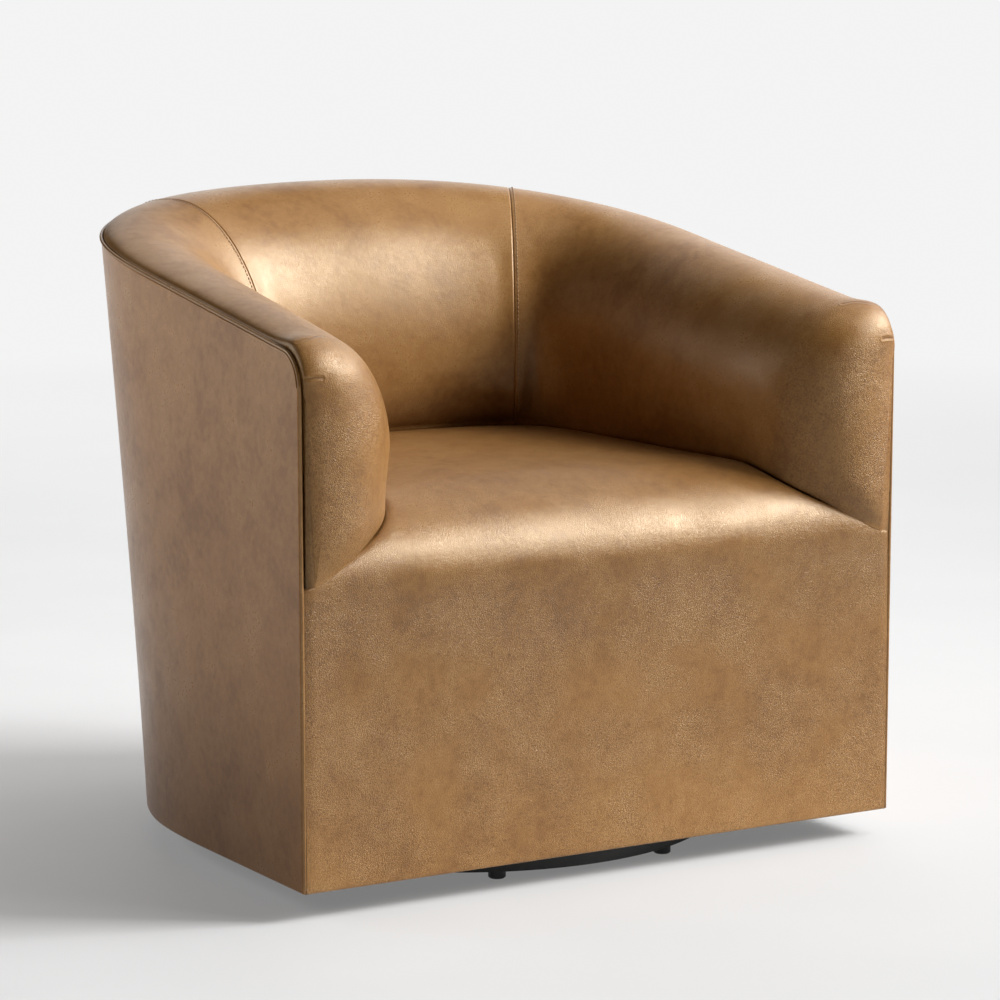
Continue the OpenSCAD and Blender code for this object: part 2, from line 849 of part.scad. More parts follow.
// Paper-covered wires that tie the springs together
module spring_ties() {
    reach = spring_x(spring_count - 1) + spring_w / 2;
    color("#d8cfae") for (y = [tie_front_y, tie_back_y])
        translate([-reach, y, wire_z + wire_r + tie_r + tie_gap]) rotate([0, 90, 0])
            cylinder(h = 2 * reach, r = tie_r, $fn = 16);
}

deck_z = wire_z + wire_r + 2 * tie_r + 2 * tie_gap;
deck_top = deck_z + deck_t;
deck_edge = 2;
foam_z = deck_top + hole_gap;

module seat_deck() {
    edge = [for (t = seat_stations) seat_edge(t) + half_normal(t) * deck_edge];
    right = concat([[edge[0][0], front_rail_back]], edge);
    left = [for (i = [len(right) - 1:-1:0]) [-right[i][0], right[i][1]]];
    color("#cfc8b4") translate([0, 0, deck_z]) linear_extrude(height = deck_t)
        polygon(concat(right, left));
}

// One row of the foam: top points from left to right, then bottom points back again
function foam_row(row) =
    let (xs = row_xs(row), n = len(xs))
    concat([for (x = xs) [x, front_y + row[2], row[3] + seat_lift(x, row[0], row[4]) - seat_gap]],
        [for (i = [n - 1:-1:0]) [xs[i], front_y + row[2], foam_z]]);

module seat_foam() {
    rolled = [for (row = roll_rows) if (row[0] > front_cap) row];
    color(foam) row_loft([for (row = concat(rolled, body_rows)) foam_row(row)]);
}

// One row of the leather: outer points, then inner points back again
function hide_row(row) =
    let (xs = row_xs(row), n = len(xs))
    concat([for (x = xs) [x, front_y + row[0], row[1] + seat_lift(x, row[0], row[4])]],
        [for (i = [n - 1:-1:0])
            [xs[i], front_y + row[2], row[3] + seat_lift(xs[i], row[0], row[4])]]);

// Seat leather: seat, front roll and front fall in one piece
module seat_cover() {
    fall = [for (z = [skirt_z, (skirt_z + fall_z) / 2, fall_z])
        [0, z, hide_t, z, cover_half - edge_strip, cover_half]];
    color(leather) row_loft([for (row = concat(fall, roll_rows, body_rows)) hide_row(row)]);
}

module arm_pad() {
    color(leather) loft([for (t = arm_stations) pad_ring(t, hollow_at(t), low_at(t))]);
}

module left_arm_pad() {
    arm_pad();
}

module right_arm_pad() {
    right_side() arm_pad();
}

// Stations of the back, drawn in a little from the two seams
seam_step_share = 0.0004;
inner_run = [for (u = back_run) max(seam_share + seam_step_share, min(2 - seam_share - seam_step_share, u))];

module back_pad() {
    color(leather) loft([for (u = inner_run) pad_ring(u, rear_hollow, pad_low_z)]);
}

// The welt follows the seam line, rounds the top front corner and drops down the front
welt_bend = corner_r - welt_r;
function seam_line(t) = crest_z(t) - crest_h;

// Outside panels, their top edge just inside the welt
function panel_top(u) =
    let (t = half_of(u), ahead = max(0, corner_r - depth_of(t)), bend = corner_r - corner_in)
    seam_line(t) - welt_bend + sqrt(max(0, bend * bend - ahead * ahead));

module panel(stations) {
    color(leather_dark) wall_band(stations, 0, panel_t, level(stations, skirt_z),
        [for (u = stations) panel_top(u)], panel_rows);
}

// Along the flat side the panel needs stations only where its top edge bends
panel_bends = 5;
panel_depths = concat([for (i = [0:panel_bends])
    corner_r - (corner_r - corner_in) * cos(90 * i / panel_bends)], [roll_d]);
module side_panel() {
    panel(concat([for (d = panel_depths) station(d)], bend_stations, corner_stations));
}

module left_side_panel() {
    side_panel();
}

module right_side_panel() {
    right_side() side_panel();
}

module back_panel() {
    panel(inner_run);
}

welt_sides = 8;
bend_steps = 8;

// Ring of the welt at a depth and height on the front corner; tilt 0 runs upwards
function corner_ring(side, depth, z, tilt) =
    [for (j = [0:welt_sides - 1]) let (a = 360 * j / welt_sides)
        [side * (half_top - lean(0, z) - welt_r * (1 + cos(a))),
         front_y + depth - welt_r * cos(tilt) * sin(a),
         z + welt_r * sin(tilt) * sin(a)]];
function rim_ring(u) =
    [for (j = [0:welt_sides - 1]) let (a = 360 * j / welt_sides)
        upright_point(u, welt_r * (1 + cos(a)), seam_line(half_of(u)) + welt_r * sin(a))];
function corner_rings(side) =
    concat([corner_ring(side, welt_r, skirt_z, 0)],
        [for (i = [0:bend_steps]) let (a = 90 * i / bend_steps, depth = corner_r - welt_bend * cos(a))
            corner_ring(side, depth, seam_line(station(depth)) - welt_bend * (1 - sin(a)), a)]);

// Welt cord along the whole top edge and down both front corners
module welt() {
    half = concat([for (t = arm_stations) if (depth_of(t) > corner_r + welt_r) t], back_stations);
    rim = concat(half, [for (i = [len(half) - 2:-1:0]) 2 - half[i]]);
    right = corner_rings(1);
    color(leather) loft(concat(corner_rings(-1), [for (u = rim) rim_ring(u)],
        [for (i = [len(right) - 1:-1:0]) right[i]]));
}

cover_t = 1;
cover_clear = 12;
cover_hole = half_diagonal + cover_clear;

// Black cloth under the frame, open round the swivel
module dust_cover() {
    half = concat([station(front_rail_d + 1)],
        [for (t = arm_stations) if (depth_of(t) > front_rail_d + 1) t], back_stations);
    run = concat(half, [for (i = [len(half) - 2:-1:0]) 2 - half[i]]);
    color(black) translate([0, 0, rail_z - cover_t]) linear_extrude(height = cover_t) difference() {
        polygon([for (u = run) let (p = wall_point(u, rail_inset, rail_z)) [p[0], p[1]]]);
        translate([0, axis_y]) circle(r = cover_hole, $fn = 96);
    }
}

plinth();
glides();
glide_screws();
lower_plate();
lower_bolts();
lower_nuts();
centre_stud();
stud_washer();
stud_nut();
ball_cage();
bearing_balls();
upper_plate();
upper_bolts();
upper_nuts();
left_mount_board();
right_mount_board();
left_side_frame();
right_side_frame();
bottom_front_rail();
bottom_back_rail();
seat_front_rail();
seat_back_rail();
back_top_rail();
front_struts();
left_corner_post();
right_corner_post();
left_rear_post();
right_rear_post();
corner_blocks();
front_board();
seat_spring_1();
seat_spring_2();
seat_spring_3();
seat_spring_4();
seat_spring_5();
spring_clips();
spring_ties();
seat_deck();
seat_foam();
seat_cover();
left_arm_pad();
right_arm_pad();
back_pad();
left_side_panel();
right_side_panel();
back_panel();
welt();
dust_cover();
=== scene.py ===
import json
import math
import bmesh
import bpy
import numpy as np
from mathutils import Matrix, Vector


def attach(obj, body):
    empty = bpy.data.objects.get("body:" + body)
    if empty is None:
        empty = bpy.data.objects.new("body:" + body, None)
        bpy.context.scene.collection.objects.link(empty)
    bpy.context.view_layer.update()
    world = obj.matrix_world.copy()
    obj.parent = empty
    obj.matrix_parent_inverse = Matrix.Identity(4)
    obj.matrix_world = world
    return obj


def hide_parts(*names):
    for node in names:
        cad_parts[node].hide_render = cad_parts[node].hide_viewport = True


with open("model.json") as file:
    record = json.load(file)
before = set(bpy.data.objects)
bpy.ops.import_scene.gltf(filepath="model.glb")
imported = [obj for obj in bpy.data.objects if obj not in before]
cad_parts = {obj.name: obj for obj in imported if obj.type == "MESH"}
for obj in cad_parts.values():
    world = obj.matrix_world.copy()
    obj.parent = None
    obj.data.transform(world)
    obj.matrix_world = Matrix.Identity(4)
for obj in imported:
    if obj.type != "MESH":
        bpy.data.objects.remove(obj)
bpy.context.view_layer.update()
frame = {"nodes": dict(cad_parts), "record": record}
nodes = frame["nodes"]
scene = bpy.context.scene

# Camera, fitted to the photograph
CAMERA_AT = np.array([-2.20006, -3.78965, 1.05933])
CAMERA_LOOKS = np.array([0.50720, 0.84814, -0.15299])
FOCAL_PX, FRAME_PX, SENSOR_MM = 3736.9, 1000, 36


def make_camera():
    ahead = CAMERA_LOOKS / np.linalg.norm(CAMERA_LOOKS)
    right = np.cross(ahead, [0, 0, 1.0])
    right = right / np.linalg.norm(right)
    up = np.cross(right, ahead)
    data = bpy.data.cameras.new("camera")
    data.lens = FOCAL_PX * SENSOR_MM / FRAME_PX
    data.sensor_width = SENSOR_MM
    data.clip_end = 60
    camera = bpy.data.objects.new("camera", data)
    turned = np.column_stack([right, up, -ahead, CAMERA_AT])
    camera.matrix_world = Matrix([*turned.tolist(), (0, 0, 0, 1)])
    scene.collection.objects.link(camera)
    scene.camera = camera


make_camera()

# The tub, in millimetres
# A station u runs round the wall from 0 at the left front, over 1 at the middle of the back, to 2 at the
# right front. A half station t is the same on both sides, 0 at the front and 1 at the middle of the back.
FRONT, BACK = -350.0, 350.0
TUB_D = BACK - FRONT
HALF_TOP, HALF_BOTTOM = 389.0, 387.5  # half width at the top edge and at the floor
BACK_LEAN = 32.0  # how far the back's foot stands in from its top
SIDE_TOP, SIDE_BOTTOM = 367.0, 184.0  # straight run of a side at the top and at the floor
TOP_POWER, BOTTOM_POWER = 2.8, 2.6  # how square the rear is
STRAIGHT = 0.4  # half station where the straight side ends at the top
BEND_START = STRAIGHT * 230.4 / SIDE_TOP  # and at the floor
PER_STATION = SIDE_TOP / STRAIGHT
SEAM = 0.75  # half station of the seams between arms and back
SKIRT = 33.0  # height of the lower rails' underside
HEM = 30.2  # the hide's lower edge, just under the card
HEM_R = 2.6  # radius of its turned edge

# Top edge: it rises by RISE a station from ARM_Z and levels off from the half station LEVEL
ARM_Z, RISE, LEVEL = 620.0, 143.0, 0.71

# Seat: the front fall ends at FALL_Z, and a roll ROLL_H high and ROLL_D deep runs on to the seat
FALL_Z, ROLL_H, ROLL_D = 362.0, 80.0, 115.0
SEAT_Z = FALL_Z + ROLL_H
CROWN = 8.0  # rise of the seat's middle

# Pads
PAD_EDGE = 5.5  # inset at the welt
CREST_H = 12.0  # height of the crest over the welt
ARM_CREST, BACK_CREST = 40.0, 52.0  # inset of the crest
ARM_FULL, BACK_FULL = 120.0, 174.0  # inset of the full face
ARM_DROP, BACK_DROP = 125.0, 142.0  # from the crest down to where the face is full
BACK_SLOPE, BACK_BELLY = 96.0, 24.0  # the back's brow reaches lower, and its face stands fuller there
LEFT_LIFT = 4.5  # the filling stands higher round the left rear corner
LIFT_FROM, LIFT_SPAN = 0.40, 0.55
CORNER_R = 36.0  # top front corner of the arms
CURL_R = 5.0  # roll at the foot of the face
LOW_ROUND, HIGH_ROUND = (80.0, 2.5), (60.0, 2.8)  # depth and power of the arms' rounded front
HIGH_Z = 510.0  # height from which it has its upper form
POST_DEPTH = 14.0  # the corner post ends here, and behind it the pads' hidden side lies deeper
HIDDEN_IN, FRAME_IN = 31.0, 28.0  # inset of that side, and the least that keeps it clear of the frame
RIM_ROWS, BROW_ROWS, FACE_ROWS, CURL_ROWS = 12, 26, 22, 5

# The front cap of an arm bulges ahead, curls in over its foot and puffs at its top corner
CAP_BULGE, CAP_FOOT, CAP_CURL = 13.0, 38.0, 7.0
PUFF, PUFF_REACH = 6.0, 27.0
PUFF_AT = np.array([-372.0, -322.0, 606.0])

# Pressure run: cloth pressure, most movement in millimetres
PAD_PRESSURE, PAD_CAP = 1.5, 5.0
SEAT_PRESSURE, SEAT_CAP = 1.5, 4.0

# Welt and stitches
WELT_IN, WELT_R = 2.9, 2.1  # inset of the cord's middle, and its radius
WELT_BEND = CORNER_R - 2.6  # the middle of the corner's bend lies this far under the seam line
STITCH_GAP, STITCH_LENGTH, STITCH_SPACE, STITCH_R = 4.6, 3.6, 1.5, 0.50
STITCH_FROM, STITCH_STOP = 3.0, 12.0  # how far a row stays off the welt and off the seat


def ease(x):
    c = np.clip(x, 0, 1)
    return c * c * (3 - 2 * c)


def unit(v):
    return v / np.maximum(np.linalg.norm(v, axis=-1, keepdims=True), 1e-9)


def quarter(count, first=1):
    """Angles of a quarter turn in equal steps."""
    return [math.pi / 2 * k / count for k in range(first, count + 1)]


def rounded(d, r, depth):
    """Dip of a rolled edge at distance d from it."""
    x = np.clip(1 - d / r, 0, 1)
    return depth * (1 - np.sqrt(1 - x * x))


def half_station(u):
    return np.where(u < 1, u, 2 - u)


def station(depth):
    """Half station of a place on the straight side, depth millimetres behind the front."""
    return STRAIGHT * np.asarray(depth, float) / SIDE_TOP


def depth_of(t):
    return SIDE_TOP * np.asarray(t, float) / STRAIGHT


def half_outline(t, straight, half_width, run, rear, power):
    """Half a tub's outline from above, x not below 0: a straight side, then the rounded rear."""
    t = np.asarray(t, float)
    a = np.radians(90 * np.clip((t - straight) / (1 - straight), 0, 1))
    r = (np.cos(a) ** power + np.sin(a) ** power) ** (-1 / power)
    x = np.where(t <= straight, half_width, half_width * r * np.cos(a))
    y = np.where(t <= straight, FRONT + run * t / straight,
                 FRONT + run + (rear - FRONT - run) * r * np.sin(a))
    return np.stack([x, y], -1)


def top_half(t):
    return half_outline(t, STRAIGHT, HALF_TOP, SIDE_TOP, BACK, TOP_POWER)


def floor_half(t):
    return half_outline(t, BEND_START, HALF_BOTTOM, SIDE_BOTTOM, BACK - BACK_LEAN, BOTTOM_POWER)


def half_normal(t):
    """Direction into the tub at a half station."""
    t = np.asarray(t, float)
    step = 0.0005
    d = top_half(np.minimum(t + step, 1)) - top_half(t - step)
    n = np.stack([-d[..., 1], d[..., 0]], -1)
    n = n / np.linalg.norm(n, axis=-1, keepdims=True)
    n = np.where((t <= STRAIGHT)[..., None], [-1.0, 0.0], n)
    return np.where((t >= 1 - step)[..., None], [0.0, -1.0], n)


def seam_tangent(side):
    """Level direction along the wall at a seam, towards the front. Side is -1 left, 1 right."""
    n = half_normal(SEAM)
    return np.array([-side * n[1], n[0], 0.0])


def crest_z(t):
    """Height of the pads' crest."""
    t = np.asarray(t, float)
    past = np.maximum(0, t - LEVEL)
    return ARM_Z + RISE * t - RISE * past * past / (2 * (1 - LEVEL))


def seam_line(t):
    """Height of the welt."""
    return crest_z(t) - CREST_H


LEAN_TOP = float(seam_line(1.0))


def lean(t, z):
    """How far the outside stands in from its top edge at a height."""
    full = ((floor_half(t) - top_half(t)) * half_normal(t)).sum(-1)
    return full * (LEAN_TOP - z) / (LEAN_TOP - SKIRT)


def wall(u, inset, z, leaning=False):
    """Points at stations u, inset millimetres inside the wall."""
    u, inset, z = np.broadcast_arrays(*(np.asarray(a, float) for a in (u, inset, z)))
    t = half_station(u)
    i = inset + (lean(t, z) if leaning else 0)
    p = top_half(t) + half_normal(t) * i[..., None]
    return np.stack([np.where(u < 1, -1, 1) * p[..., 0], p[..., 1], z], -1)


def roll_z(depth):
    """Height of the seat's hide, depth millimetres behind the front."""
    s = np.clip(1 - depth / ROLL_D, 0, 1)
    return FALL_Z + ROLL_H * np.sqrt(np.maximum(0, 1 - s * s))


def share(t):
    """0 at the arm's front, 1 from the back's own section on."""
    return np.minimum(1, np.asarray(t, float) / 0.8)


def blend(t, arm, back):
    return arm + (back - arm) * share(t)


def pad_full(t):
    """Inset of the pads' full face."""
    return ARM_FULL + (BACK_FULL - ARM_FULL) * np.sin(np.radians(90 * share(t))) ** 0.55


def oval(depth, reach, power):
    """Share of an oval's half width, depth millimetres behind its end."""
    x = np.clip(1 - depth / reach, 0, 1)
    return (1 - x ** power) ** (1 / power)


def taper(depth, z):
    """Share of its inset that the arm's pad has reached behind its rounded front."""
    low, high = oval(depth, *LOW_ROUND), oval(depth, *HIGH_ROUND)
    start = roll_z(depth)
    return low + (high - low) * ease((z - start) / (HIGH_Z - start))


def corner_z(t, z):
    """Heights brought down round the arms' top front corner, less so low on the pad."""
    d = np.clip(CORNER_R - depth_of(t), 0, CORNER_R)
    drop = CORNER_R - np.sqrt(CORNER_R ** 2 - d ** 2)
    return z - drop * ease((z - SEAT_Z - 40) / (crest_z(t) - SEAT_Z - 60))


def pad_point(u, inset, z):
    """Points on a pad, with the arms' rounded front and top corner."""
    t = half_station(u)
    g = taper(depth_of(t), z)
    return wall(u, PAD_EDGE + (inset - PAD_EDGE) * g, corner_z(t, z))


# Meshes
def mesh_object(name, points, faces):
    mesh = bpy.data.meshes.new(name)
    mesh.from_pydata((np.asarray(points).reshape(-1, 3) * 0.001).tolist(), [], faces)
    mesh.validate()
    mesh.polygons.foreach_set("use_smooth", [True] * len(mesh.polygons))
    mesh.update()
    ob = bpy.data.objects.new(name, mesh)
    scene.collection.objects.link(ob)
    return ob


def grid_faces(nu, nv, close_v=False):
    faces = []
    for i in range(nu - 1):
        for j in range(nv if close_v else nv - 1):
            a, b = i * nv + j, i * nv + (j + 1) % nv
            faces.append((a, b, b + nv, a + nv))
    return faces


def closed_faces(nu, nv):
    """Faces of a tube of nu rings, with both ends closed."""
    ends = [tuple(range(nv - 1, -1, -1)), tuple((nu - 1) * nv + j for j in range(nv))]
    return grid_faces(nu, nv, close_v=True) + ends


def grid_normals(points):
    return unit(np.cross(np.gradient(points, axis=0), np.gradient(points, axis=1)))


def pad_normals(points):
    """Normals of a pad's grid, away from the middle of its section."""
    n = grid_normals(points)
    outward = ((points - points.mean(1, keepdims=True)) * n).sum()
    return n if outward > 0 else -n


def set_grain(ob, values):
    grain = ob.data.attributes.new("grain", "FLOAT", "POINT")
    grain.data.foreach_set("value", np.asarray(values, np.float32).ravel())


TUB_MIDDLE = Vector((0, -0.02, 0.3))  # in metres


def fix_normals(ob, inside=None):
    """Turns the faces out, and for an open hide away from a point inside."""
    mesh = bmesh.new()
    mesh.from_mesh(ob.data)
    bmesh.ops.recalc_face_normals(mesh, faces=mesh.faces)
    if inside is not None:
        out = sum((f.calc_center_median() - inside).dot(f.normal) * f.calc_area() for f in mesh.faces)
        if out < 0:
            bmesh.ops.reverse_faces(mesh, faces=mesh.faces)
    mesh.to_mesh(ob.data)
    mesh.free()
    ob.data.update()


# Pressure in the pads
def thinned(points, step):
    """Indices of the grid's rows that lie about a step apart."""
    gaps = np.linalg.norm(np.diff(points, axis=0), axis=-1).mean(1)
    along = np.concatenate([[0], np.cumsum(gaps)])
    keep = [0]
    for i in range(1, len(along) - 1):
        if along[i] - along[keep[-1]] >= step and along[-1] - along[i] > step * 0.6:
            keep.append(i)
    return np.array(keep + [len(along) - 1])


def spread(values, at, count):
    """Smooth curve through the values at some indices, read at every index."""
    slope = np.gradient(values, at, axis=0)
    x = np.arange(count)
    k = np.clip(np.searchsorted(at, x, side="right") - 1, 0, len(at) - 2)
    h = (at[k + 1] - at[k]).astype(float)
    s = (x - at[k]) / h
    shape = (-1,) + (1,) * (values.ndim - 1)
    s, h = s.reshape(shape), h.reshape(shape)
    return ((1 + 2 * s) * (1 - s) ** 2 * values[k] + s * (1 - s) ** 2 * h * slope[k]
            + s * s * (3 - 2 * s) * values[k + 1] - s * s * (1 - s) * h * slope[k + 1])


def run_cloth(points, hold, pressure, frames=20):
    """Runs cloth under pressure on a closed grid, held by weight, and gives each point's movement."""
    nu, nv = points.shape[:2]
    ob = mesh_object("inflating", points, closed_faces(nu, nv))
    fix_normals(ob)
    group = ob.vertex_groups.new(name="held")
    for i, weight in enumerate(hold.ravel()):
        if weight > 0:
            group.add([i], float(weight), "REPLACE")
    cloth = ob.modifiers.new("cloth", "CLOTH")
    settings = cloth.settings
    settings.quality = 6
    settings.mass = 0.3
    settings.tension_stiffness = settings.compression_stiffness = 15
    settings.shear_stiffness = 5
    settings.bending_stiffness = 0.5
    settings.use_pressure = True
    settings.uniform_pressure_force = pressure
    settings.effector_weights.gravity = 0
    settings.vertex_group_mass = "held"
    cloth.collision_settings.use_collision = False
    for f in range(1, frames + 1):
        scene.frame_set(f)
    after = np.empty(nu * nv * 3, np.float32)
    done = ob.evaluated_get(bpy.context.evaluated_depsgraph_get())
    done.data.vertices.foreach_get("co", after)
    scene.frame_set(1)
    bpy.data.objects.remove(ob)
    return after.reshape(nu, nv, 3) * 1000 - points


def inflate(points, pin, pressure, cap, n=None, step=9.0, lining=30.0):
    """Moves a grid as cloth under pressure moves on every few of its rows. The most it moves is cap."""
    rows, cols = thinned(points, step), thinned(points.transpose(1, 0, 2), step)
    coarse, hold = points[rows][:, cols], pin[rows][:, cols]
    shown = coarse.shape[1]
    if n is not None:  # an open hide gets a held lining, so that the form is closed
        inner = coarse - lining * n[rows][:, cols]
        coarse = np.concatenate([coarse, inner[:, ::-1]], 1)
        hold = np.concatenate([hold, np.ones(hold.shape)], 1)
    move = run_cloth(coarse, hold, pressure)[:, :shown]
    far = np.linalg.norm(move, axis=-1, keepdims=True)
    move = move * cap * np.tanh(far / cap) / np.maximum(far, 1e-6)
    for _ in range(2):
        move[1:-1] = (move[:-2] + 2 * move[1:-1] + move[2:]) / 4
        move[:, 1:-1] = (move[:, :-2] + 2 * move[:, 1:-1] + move[:, 2:]) / 4
    move = spread(move, rows, len(points))
    move = spread(move.transpose(1, 0, 2), cols, points.shape[1]).transpose(1, 0, 2)
    return points + move * (1 - pin)[..., None]


# Pads of the arms and the back
def pad_section(u, lifted=True):
    """Rows of points round the pads' section at stations u: rim, brow, face, foot and hidden side."""
    u = np.asarray(u, float)
    t = half_station(u)
    depth = depth_of(t)
    top = crest_z(t)
    crest = blend(t, ARM_CREST, BACK_CREST)
    full = pad_full(t)
    belly = ease((share(t) - 0.55) / 0.4)
    drop = blend(t, ARM_DROP, BACK_DROP) + BACK_SLOPE * belly
    swell = BACK_BELLY * belly
    up = LEFT_LIFT * np.sin(np.pi * np.clip((u - LIFT_FROM) / LIFT_SPAN, 0, 1)) ** 2 * lifted
    # Two rows lie under the welt
    rows = [wall(u, PAD_EDGE - 0.4, corner_z(t, top - CREST_H - 6)),
            wall(u, PAD_EDGE - 0.2, corner_z(t, top - CREST_H - 2.5))]
    for a in quarter(RIM_ROWS, first=0):
        rows.append(pad_point(u, PAD_EDGE + (crest - PAD_EDGE) * (1 - math.cos(a)),
                              top - CREST_H + 1 + (CREST_H - 1 + up) * math.sin(a)))
    for a in quarter(BROW_ROWS):
        rows.append(pad_point(u, crest + (full + swell - crest) * math.sin(a),
                              top + up - (drop + up) * (1 - math.cos(a))))
    low = roll_z(depth) - 1.0 + CURL_R
    for k in range(1, FACE_ROWS + 1):
        s = k / FACE_ROWS
        rows.append(pad_point(u, full + swell * (1 - s * s), (top - drop) + (low - top + drop) * s))
    curl = CURL_R * np.minimum(1, depth / 12)
    for a in quarter(CURL_ROWS):
        rows.append(pad_point(u, full - curl * (1 - math.cos(a)), low - (CURL_R + 3) * math.sin(a)))
    # The hidden side stays clear of the frame behind the corner post, and inside the tapered front
    hidden = np.where(depth <= POST_DEPTH, PAD_EDGE + 1.5, HIDDEN_IN)
    hidden = np.minimum(hidden, PAD_EDGE + (full - PAD_EDGE) * taper(depth, low) * 0.6)
    hidden = np.where(depth > POST_DEPTH, np.maximum(hidden, FRAME_IN), hidden)
    rows.append(wall(u, hidden, low - 8))
    rows.append(wall(u, np.maximum(PAD_EDGE + 1, hidden), np.maximum(low + 10, top - 60)))
    rows.append(wall(u, PAD_EDGE + 2, corner_z(t, top - CREST_H - 14)))
    return np.stack(rows, 1)


def pad_pin(t, nv):
    """How firmly a pad's points are held: at the welt, at the seat and at its ends."""
    v = np.arange(nv)
    foot = 2 + RIM_ROWS + 1 + BROW_ROWS + FACE_ROWS
    by_v = np.maximum(1 - ease((v - 3) / 7), ease((v - foot + 6) / 5))
    by_seam = 1 - ease((np.abs(t - SEAM) * PER_STATION - 2) / 24)
    by_front = 1 - ease((depth_of(t) - 1.5) / 14)
    return np.clip(np.maximum(by_v[None, :], np.maximum(by_seam, by_front)[:, None]), 0, 1)


def cap_bulge(points):
    """The left arm's front cap bulges ahead of its seams and curls in above the seat."""
    x, y, z = np.moveaxis(points, -1, 0)
    inset = HALF_TOP + x
    depth = np.maximum(0, y - FRONT)
    rise = np.clip((z - roll_z(depth)) / CAP_FOOT, 0, 1)
    fall = np.clip((crest_z(station(depth)) - z) / 45, 0, 1)
    across = np.sin(np.pi * np.clip(inset / ARM_FULL, 0, 1)) ** 0.9
    up = (1 - (1 - rise) ** 2) * (1 - (1 - fall) ** 2)
    curl = 1 - np.sqrt(1 - (1 - rise) ** 2)
    ahead = CAP_BULGE * across * up * (1 - ease(depth / 48))
    aside = CAP_CURL * curl * np.clip(inset / 110, 0, 1) ** 2 * (1 - ease(depth / 40))
    return points - np.stack([aside, ahead, np.zeros(z.shape)], -1)


def puff(points, n):
    """The filling bulges at the left arm's top front corner."""
    d = np.linalg.norm(points - PUFF_AT, axis=-1)
    rows = ease((np.arange(points.shape[1]) - 2) / 4)
    return points + n * (PUFF * np.exp(-(d / PUFF_REACH) ** 2) * rows)[..., None]


def seam_dip(points, n, radius=2.4, depth=1.5):
    """Rolls the edges of a pad into the seams at the two seam stations."""
    for side in (-1, 1):
        seam = wall(1 + side * (1 - SEAM), 0.0, 0.0)
        d = np.abs((points - seam) @ seam_tangent(side))
        near = np.sign(points[..., 0]) == side
        points = points - n * (rounded(d, radius, depth) * near)[..., None]
    return points


# Steps of the pads' and panels' stations away from a seam, and the half stations that lead up to it
seam_steps = np.array([0, 0.5, 1.0, 1.6, 2.3, 3.1, 4.2, 5.6, 7.5, 10, 13.5, 18.5, 26]) / PER_STATION
to_seam = (SEAM - seam_steps[::-1])[1:]


def arm_stations():
    front = station(0.15 + 74 * (1 - np.cos(np.linspace(0, 1, 56) * np.pi / 2)))
    side = np.linspace(front[-1], STRAIGHT, 42)[1:]
    corner = np.linspace(STRAIGHT, SEAM - seam_steps[-1], 44)[1:]
    return np.concatenate([front, side, corner, to_seam])


def back_stations():
    middle = np.linspace(SEAM + seam_steps[-1], 2 - SEAM - seam_steps[-1], 92)
    return np.concatenate([SEAM + seam_steps[:-1], middle, to_seam + 2 - 2 * SEAM])


def make_arm(name, right):
    """The left arm's cushion, or the right one as its mirror image without the lift at the corner."""
    u = arm_stations()
    points = cap_bulge(pad_section(u, not right))
    n = pad_normals(points)
    points = inflate(points, pad_pin(u, points.shape[1]), PAD_PRESSURE, PAD_CAP)
    points = seam_dip(puff(points, n), n)
    mirror = [-1, 1, 1] if right else [1, 1, 1]
    faces = closed_faces(*points.shape[:2])
    if right:  # a mirror image has its faces the other way round
        faces = [face[::-1] for face in faces]
    ob = mesh_object(name, points * mirror, faces)
    # The cap is pebbled below its dart, the rest of the pad is smooth
    behind = ease((depth_of(u) - 10) / 60)[:, None]
    set_grain(ob, (1 - behind) * (1 - 0.8 * ease((points[..., 2] - 576) / 14)))
    fix_normals(ob)
    return ob


def make_back():
    """The back's cushion, from seam to seam."""
    u = back_stations()
    points = pad_section(u)
    n = pad_normals(points)
    points = inflate(points, pad_pin(half_station(u), points.shape[1]), PAD_PRESSURE, PAD_CAP)
    points = seam_dip(points, n)
    ob = mesh_object("back_cushion", points, closed_faces(*points.shape[:2]))
    set_grain(ob, np.zeros(points.shape[:2]))
    fix_normals(ob)
    return ob


# Seat, roll and front in one hide
FRONT_IN, FRONT_SPREAD = 4.6, 0.9  # the front's sides stand in from the wall, a little less at its top
SEAT_TUCK = 9.0  # how far the hide runs on under the pads
SEAT_EDGE, ROLL_EDGE = (13.0, 5.0, 1.1), (4.0, 2.0, 0.6)  # radius, dip and slope of the hide at the pads
SEAT_COLUMNS = 97
edge_t = np.concatenate([np.linspace(station(ROLL_D), STRAIGHT, 40), np.linspace(STRAIGHT, 1, 160)[1:]])


def contact_half(depth):
    """Half width at which the arms touch the roll."""
    t = station(depth)
    return HALF_TOP - PAD_EDGE - (pad_full(t) - PAD_EDGE) * taper(depth, roll_z(depth))


def seat_curve(extra):
    """Line where the pads touch the seat behind the roll, extra millimetres under them."""
    return top_half(edge_t) + half_normal(edge_t) * (pad_full(edge_t) - extra)[:, None]


def seat_half(y, extra=0.0):
    """Half width of the seat at y, extra millimetres under the pads, and behind the roll the most of it."""
    line = seat_curve(np.max(extra))
    deep = np.interp(y, line[:, 1], line[:, 0])
    front = contact_half(np.clip(y - FRONT, 0, ROLL_D)) + extra
    return np.where(y - FRONT < ROLL_D, front, deep)


def seat_lift(x, y):
    """Crown of the seat."""
    across = np.maximum(0, 1 - (x / np.maximum(seat_half(y), 1)) ** 2)
    along = np.maximum(0, np.sin(np.pi * np.clip((y - FRONT) / (TUB_D - BACK_FULL), 0, 1)))
    return CROWN * across * along ** 0.7


